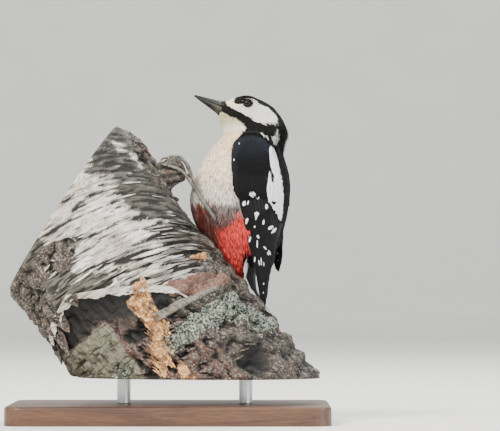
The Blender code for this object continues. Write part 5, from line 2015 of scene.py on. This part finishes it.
def birch():
    made, tree, shader = material("birch bark", 0.8)
    place = own_place(tree)
    turn = {"Vector": place, "Rotation": (0, math.pi / 2 - LEAN, 0)}
    along, round_it = node(tree, "ShaderNodeMapping", turn).outputs[0], attribute(tree, "arch", "Vector")

    def spots(size, stretch=(1, 1, 1), detail=4.0, roughness=0.55, vector=along):
        scale = tuple(1 / (size * MM * k) for k in stretch)
        return clouds(tree, stretched(tree, vector, scale), detail=detail, Roughness=roughness)

    broad, medium, fine, patchy = spots(26), spots(7), spots(1.6, detail=3.0), spots(12)
    lines = spots(0.9, (12, 12, 1), roughness=0.6, vector=round_it)
    wide_lines = spots(2.2, (8, 8, 1), roughness=0.6, vector=round_it)
    grain = spots(0.9, (1, 1, 14), roughness=0.6)
    zone = {key: attribute(tree, key) for key in ZONES}

    def fuzzy(key, share):
        """A zone's share with the fine noise added, so that its edge is ragged."""
        return times_plus(tree, fine, share, math_node(tree, "SUBTRACT", zone[key], share / 2))

    # each kind of surface: its first colour, then others washed over it
    # This dark moss colour paints both the algae and the painted shade along the ridge.
    moss_and_shade_tone = washed(tree, "#0d0c09", (lines, (0.38, 0.0), (0.6, 1.0), "#403d31"))
    paper = washed(tree, "#dad6cf", (broad, (0.35, 0.0), (0.65, 1.0), "#aea59a"),
                   (medium, (0.5, 0.0), (0.72, 0.5), "#827b6f"),
                   (wide_lines, (0.51, 0.0), (0.64, 0.8), "#5c574b"),
                   (lines, (0.33, 0.9), (0.46, 0.0), "#2a2620"),
                   (lines, (0.60, 0.0), (0.72, 0.8), "#f6f4ef"),
                   (fuzzy("moss", 0.6), (0.2, 0.0), (0.75, 0.9), moss_and_shade_tone),
                   (zone["slit"], *PLAIN, "#15130f"))
    # The cork's last wash is near-black painted shade in its cracks and low places.
    cork = washed(tree, "#17130f", (medium, (0.35, 0.0), (0.62, 1.0), "#433b35"),
                  (fine, (0.5, 0.0), (0.62, 0.95), "#7c7269"),
                  (broad, (0.5, 0.0), (0.62, 0.5), "#3b3a28"),
                  (patchy, (0.60, 0.0), (0.68, 0.6), "#633a2a"),
                  (lines, (0.34, 0.8), (0.46, 0.0), "#110f0c"),
                  (zone["cavity"], *PLAIN, "#070605"))
    inner = washed(tree, "#483129", (fine, (0.35, 0.0), (0.65, 1.0), "#7f6458"),
                   (medium, (0.5, 0.0), (0.66, 0.8), "#5f2a1c"))
    sheet = washed(tree, "#413e31", (grain, (0.35, 0.0), (0.65, 1.0), "#747162"),
                   (wide_lines, (0.38, 0.9), (0.47, 0.0), "#15130e"))
    # Painted shade in the damp wood: near black in its cracks and low places, and darkest in the hollow as
    # the lip's shadow.
    damp = washed(tree, "#180e09", (grain, (0.35, 0.0), (0.65, 1.0), "#583c2c"),
                  (medium, (0.45, 0.0), (0.65, 0.8), "#4c403d"), (fine, (0.52, 0.0), (0.66, 0.7), "#8d7f76"),
                  (zone["cavity"], *PLAIN, "#080504"), (zone["hollow"], *PLAIN, "#060403"))
    fresh = washed(tree, "#6b3c16", (grain, (0.36, 0.0), (0.62, 1.0), "#c58f55"),
                   (fine, (0.5, 0.0), (0.68, 0.9), "#e9cda0"), (medium, (0.40, 0.9), (0.54, 0.0), "#3f2a20"))
    crust = washed(tree, "#13150f", (fine, (0.4, 0.0), (0.6, 1.0), "#8c9385"))
    bone = washed(tree, "#332e29", (grain, (0.35, 0.0), (0.6, 1.0), "#857e75"))
    kinds = {"rough": cork, "pink": inner, "torn": damp, "pale": sheet, "ledge": bone, "wood": fresh,
             "lichen": crust}
    layers = [(fuzzy(key, 0.5), (0.42, 0.0), (0.56, 1.0), kind) for key, kind in kinds.items()]
    colour = washed(tree, paper, *layers)
    coloured(tree, shader, mix(tree, zone["sawn"], colour, sawn_wood(tree, place, broad, medium, fine)))
    bump(tree, shader, times_plus(tree, fine, 0.6, times(tree, lines, 0.5)), 0.0006, 0.7)
    return made


bark = birch()
trunk.data.materials.append(bark)
print("birch bark ready")

# %% [markdown]
# Old birch sheds its bark in strips. Each strip is a thin sheet that follows an arch round the trunk, held
# along its upper edge, with its lower edge rolling off. A ragged lip of white bark hangs over the torn
# hollow. Strips could be cut from the trunk's own mesh, but as closed sheets of their own they can stand
# well clear of it and throw shadows. Those that would touch the bird or pass a saw cut are left out.

# %% Loose strips of bark and the torn lip
def zone_values(shape, **given):
    return {key: np.broadcast_to(np.asarray(given.get(key, 0.0), float), shape) for key in ZONES}


def bark_sheet(up_line, degrees_line, widths, roll, outside=None, behind=None, lift=0.2, thick=0.45, rows=6,
               ragged=0.5):
    """A closed sheet held along a line and rolling off by an angle, in radians, towards its lower edge."""
    v = np.linspace(0, 1, rows)[:, None]
    torn_edge = ragged * cloud(np.stack([up_line * 3, degrees_line * 3, widths * 9], axis=-1), 7.0, 2, 71)
    wide = np.maximum(widths + torn_edge * smoothstep(0.2, 1.5, widths), 0.05)[None, :]
    bend = wide / roll
    across, away = np.sin(v * roll), 1 - np.cos(v * roll)
    sheet_up = up_line[None, :] - bend * across
    degrees = np.broadcast_to(degrees_line[None, :], sheet_up.shape)
    ripple_at = np.stack([sheet_up, degrees * DEGREE_MM, 0 * sheet_up], axis=-1)
    stand = lift + 0.35 * cloud(ripple_at, 4.0, 2, 72) * v
    outer = trunk_place(sheet_up, degrees, stand + bend * away)
    inner = trunk_place(sheet_up + thick * across, degrees, stand + (bend - thick) * away - thick)
    shape = sheet_up.shape
    arch = {"arch": arched(own_axes(outer), degrees) * MM}
    return {"outer": outer, "inner": inner, "attributes": {**zone_values(shape, **(outside or {})), **arch},
            "inner_attributes": {**zone_values(shape, **(behind or {"pink": 1.0})), **arch}}


def clear_of_bird(sheet, room=1.0):
    places = np.concatenate([sheet["outer"].reshape(-1, 3), sheet["inner"].reshape(-1, 3)])[::3]
    return room_to(bird_tree, places, 12.0).min() > room


def arch_line(up, degrees, length, count=14):
    """A line along the bark's arches from a middle place, and its shares from 0 to 1."""
    s = np.linspace(0, 1, count)
    line_angles = degrees + (s - 0.5) * length / DEGREE_MM
    return up + arch_height(degrees) - arch_height(line_angles), line_angles, s


# Fields of strips: up, angle, half spreads, count, length, width, roll and how corky the outside is.
FIELDS = ((74, -42, 13, 30, 40, 24, 3.6, 1.5, 0.0), (60, -30, 8, 22, 22, 16, 3.2, 1.9, 0.6),
          (112, -62, 26, 38, 22, 15, 1.9, 0.9, 0.0), (96, -112, 30, 22, 26, 16, 2.2, 1.1, 0.5),
          (128, -6, 26, 22, 34, 9, 2.6, 1.6, 1.0), (10, -50, 26, 40, 46, 12, 3.0, 1.3, 1.0),
          (20, 30, 40, 40, 34, 14, 3.0, 1.3, 1.0), (90, 70, 40, 40, 34, 18, 2.6, 1.3, 0.2),
          (60, 150, 50, 30, 26, 16, 2.6, 1.3, 0.7))
# Where the hollow's old brown tongues of bark start: how far up, the angle and the length.
TONGUES = ((92, -138, 16), (84, -150, 20), (96, -120, 9), (76, -166, 14))
low_edge, high_edge = (np.interp(np.arange(-180, 181), angles, edge) for edge in (low, high))


def field_strip(mid_up, mid_angle, half_up, half_angle, long, wide, roll, corky):
    """One strip somewhere in a field, or nothing where it would leave the trunk or hang over the hollow."""
    at_up = mid_up + random.uniform(-1, 1) * half_up
    at_angle = mid_angle + random.uniform(-1, 1) * half_angle
    line_up, line_angle, s = arch_line(at_up, at_angle, long * random.uniform(0.6, 1.4))
    whole = np.round((line_angle + 180) % 360).astype(int)
    if (line_up - wide * 1.5 < low_edge[whole] + 2).any() or (line_up > high_edge[whole] - 3).any():
        return None
    if ((line_up < read(TEAR, line_angle) + 6) & (line_angle < -58)).any() and corky < 0.9:
        return None
    widths = wide * random.uniform(0.6, 1.4) * np.sin(np.pi * s) ** 0.6
    outside = {"rough": float(random.random() < corky), "moss": random.uniform(0, 0.7)}
    rolled = roll * random.uniform(0.6, 1.3)
    behind = {"pink": 1.0} if random.random() < 0.5 else {"rough": 1.0}
    return bark_sheet(line_up, line_angle, widths, rolled, outside, behind)


sheets = [field_strip(*field[:4], *field[5:]) for field in FIELDS for _ in range(field[4])]
sheets = [sheet for sheet in sheets if sheet and clear_of_bird(sheet)]
lip_angle = np.linspace(-172, -58, 90)
lip_width = 6.2 + 3.4 * cloud(np.stack([lip_angle, 0 * lip_angle, 0 * lip_angle], axis=-1), 5.0, 3, 73)
# The lip's underside is painted half as dark as the hollow, as painted shade.
sheets.append(bark_sheet(read(TEAR, lip_angle) + 5.0, lip_angle, lip_width, 0.5,
                         behind={"torn": 1.0, "hollow": 0.5}, lift=0.5, thick=0.8, ragged=1.8, rows=8))
for start, angle, long in TONGUES:
    s = np.linspace(0, 1, 12)
    sheets.append(bark_sheet(start + 0 * s, angle + (s - 0.5) * 11, long * np.sin(np.pi * s) ** 0.8, 0.5,
                             {"rough": 1.0, "moss": 1.0}, lift=1.2, thick=0.7, ragged=2.5, rows=9))
strips = join_vanes("bark_strips", sheets, bark)
print("bark strips:", len(sheets), "faces", len(strips.data.polygons))

# %% [markdown]
# Where a branch or a sheet of bark tears off, the wood's long fibres stand up as splinters. Each one is a
# small blade, pointed at its upper end, that leans and lifts off the wood towards its tip. They follow the
# same bent line as the zone of fresh wood, so that one table places both.

# %% Splinters of fresh wood
SPLINTERS = 150


def along_line(line, part):
    """A line's own numbers at a place along it, counted in points."""
    line = np.array(line, float)
    return [np.interp(part, np.arange(len(line)), line[:, k]) for k in range(3)]


def splinter():
    at, angle, _ = along_line(WOOD_LINE, random.random() * (len(WOOD_LINE) - 1))
    at, angle = at + random.uniform(-5, 5), angle + random.uniform(-7, 7)
    long, wide, stand = random.uniform(5, 12), random.uniform(0.35, 1.1), random.uniform(0.4, 3.2)
    lean = random.uniform(-2.5, 2.5)
    s = np.linspace(0, 1, 6)[:, None]
    across = np.array([-1.0, 0.0, 1.0])[None, :] * wide * (1 - s ** 2 * 0.95)
    ups, turns = at + long * (s - 0.5) + 0 * across, angle + (across + lean * s ** 2) / DEGREE_MM
    lift = stand * s ** 2 - 0.2 * np.abs(across)
    outer, inner = trunk_place(ups, turns, 1.0 + lift), trunk_place(ups, turns, 0.6 + lift)
    if at - 0.5 * long < np.interp(angle, angles, low) + 2:
        return None
    return {"outer": outer, "inner": inner,
            "attributes": {**zone_values(ups.shape, wood=1.0), "arch": own_axes(outer) * MM}}


splinters = [made for made in (splinter() for _ in range(SPLINTERS)) if made]
wood_splinters = join_vanes("wood_splinters", splinters, bark)
print("splinters:", len(splinters), "faces", len(wood_splinters.data.polygons))

# %% [markdown]
# Lichen on old bark is a crust of small crumpled leaves with lobed edges. Displacing the bark could not
# make such overhanging edges, so each leaf is a small closed sheet of its own, and hundreds of them lie in
# bands.

# %% Grey leaves of lichen
LICHEN_BANDS = ((LICHEN_LINE, 190), (((31, -124, 5), (26, -130, 7)), 40), (((-10, 10, 6), (10, 24, 8)), 40),
                (((30, 60, 5), (60, 80, 9)), 50))


def lichen_leaf(up, degrees, size, turn, tilt):
    """A crumpled little leaf: a closed sheet of rings whose lobed edge stands off the bark."""
    v = np.linspace(0.02, 1, 5)[:, None]
    a = np.linspace(0, 2 * np.pi, 14)[None, :]
    reach = size * v * (1 + 0.28 * np.sin(3 * a + turn) + 0.16 * np.sin(7 * a + 3 * turn))
    du, da = reach * np.cos(a), reach * np.sin(a) / DEGREE_MM
    crumple = size * 0.45 * v ** 2 * (0.7 + 0.6 * np.sin(5 * a + 2 * turn))
    stand = np.maximum(0.5 + crumple + tilt * reach * np.cos(a - turn), 0.15)
    outer = trunk_place(up + du, degrees + da, stand + 0.3)
    inner = trunk_place(up + du * 0.93, degrees + da * 0.93, stand - 0.05)
    return {"outer": outer, "inner": inner,
            "attributes": {**zone_values(reach.shape, lichen=1.0), "arch": own_axes(outer) * MM}}


leaves = []
for line, count in LICHEN_BANDS:
    for _ in range(count):
        up_at, angle_at, wide_at = along_line(line, random.uniform(0, len(line) - 1))
        up_at = up_at + random.normal(0, 0.5) * wide_at
        angle_at = angle_at + random.normal(0, 0.5) * wide_at / DEGREE_MM
        if up_at < np.interp(angle_at, angles, low) + 4:
            continue
        size, turn, tilt = random.uniform(1.3, 3.0), random.uniform(0, 6.3), random.uniform(0, 0.5)
        leaf = lichen_leaf(up_at, angle_at, size, turn, tilt)
        if clear_of_bird(leaf, 0.6):
            leaves.append(leaf)
lichen_piece = join_vanes("lichen_leaves", leaves, bark)
print("lichen leaves:", len(leaves), "faces", len(lichen_piece.data.polygons))

# %% [markdown]
# The forward foot holds a broken stub of a branch. It is a short rough cone that sinks into the trunk at
# its root and ends in a splintered break. Like the trunk it is rings of points pushed in and out by noise,
# and it keeps clear of the toes that close round it.

# %% Broken stub under the forward foot
STUB_AXIS = normalised(np.array([0.9, -0.2, 0.42]))
STUB_ANGLE, STUB_SUNK, STUB_LENGTH = -4.0, 10.0, 17.0
STUB_RADII = np.array([(-0.7, 12), (0, 11.5), (0.35, 10), (0.7, 9.2), (0.9, 8), (1, 5)])
STUB_ZONES = {"rough": 1.0, "moss": 0.4}
RINGS, ROUND = 46, 84
stub_top = normalised(np.array([0, 0, 1.0]) - STUB_AXIS * STUB_AXIS[2])
stub_across = np.cross(STUB_AXIS, stub_top)
stub_across = stub_across * np.sign(stub_across[1])
stub_root = trunk_place(STUB_UP, STUB_ANGLE)
along, turn = np.broadcast_arrays(np.linspace(-STUB_SUNK, STUB_LENGTH, RINGS)[:, None],
                                  np.linspace(0, 2 * np.pi, ROUND, endpoint=False)[None, :])


def stub_place(lift):
    radius = read(STUB_RADII, along / STUB_LENGTH) + lift
    return (stub_root + along[..., None] * STUB_AXIS + (radius * np.cos(turn))[..., None] * stub_top
            + (radius * np.sin(turn))[..., None] * stub_across)


plain = stub_place(0.0)
ridges = 1.5 * np.abs(cloud(plain, (5, 5, 5), 3, 81)) + 0.5 * np.sin(turn * 9 + along * 0.4)
bumps = ridges + 0.6 * cloud(plain, 2.0, 3, 82) - 0.5
room = room_to(bird_tree, plain.reshape(-1, 3), 9.0).reshape(bumps.shape)
bumps = np.clip(bumps, -1.4, np.maximum(room - 0.35, -0.5))
rings = stub_place(bumps)
rings = rings + STUB_AXIS * (1.6 * cloud(plain, 3.0, 2, 83) * smoothstep(13, 17, along))[..., None]
last, middle = rings[-1], rings[-1].mean(axis=0)
broken_end = [middle + (last - middle) * k + STUB_AXIS * (1.8 * cloud(last * (1 + k), 2.2, 2, 84))[:, None]
              for k in (0.75, 0.5, 0.25)]
middles = [rings[0].mean(axis=0), middle - STUB_AXIS]
stub_points = np.concatenate([rings.reshape(-1, 3), *broken_end, middles])
stub = mesh_object("birch_stub", stub_points * MM, loft_faces(RINGS + len(broken_end), ROUND), bark)
facing_out(stub)
for key in ZONES:
    values = np.full(len(stub_points), STUB_ZONES.get(key, 0.0))
    # Painted shade: the stub's low places are darkened.
    if key == "cavity":
        values[:bumps.size] = smoothstep(0.2, -1.0, bumps).ravel()
    if key == "torn":
        values[:bumps.size] = smoothstep(15.5, 17, along).ravel()
        values[bumps.size:] = 1.0
    paint(stub, key, values)
paint(stub, "arch", (stub_points - stub_root) * MM)
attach(stub, "root")
print("stub faces", len(stub.data.polygons))

# %% [markdown]
# Seen from the bird's left, the far wing shows as a thin dark edge behind the back. That wing lies a little
# flatter to the back than the near one, and its lower edge stands further out, so everything on that side
# is eased over by the same smooth amount, a few millimetres at most. Moving the finished points is simpler
# than folding that wing in another way, and keeps its feathers in order.

# %% Ease the far side into its outline
FAR_HEIGHTS = (104, 112, 124, 132, 141, 150, 166, 184, 198, 208)
FAR_SHIFTS = (0.0, 2.4, 3.4, 2.6, -1.4, -3.2, -4.4, -3.6, -3.2, 0.0)
FAR_PIECES = ("skin", "coat_", "right_flight", "right_greater", "right_small", "right_scap")


def eased(points):
    """How far places on the far side move along the first axis, in millimetres."""
    share = smoothstep(1.0, 9.0, points[:, 1]) * smoothstep(62, 84, points[:, 0])
    return np.interp(points[:, 2], FAR_HEIGHTS, FAR_SHIFTS) * share


for obj in [o for o in bpy.data.objects if o.name.startswith(FAR_PIECES)]:
    places = points_of(obj)
    places[:, 0] += eased(places / MM) * MM
    set_points(obj, places)
    print(obj.name, "eased")
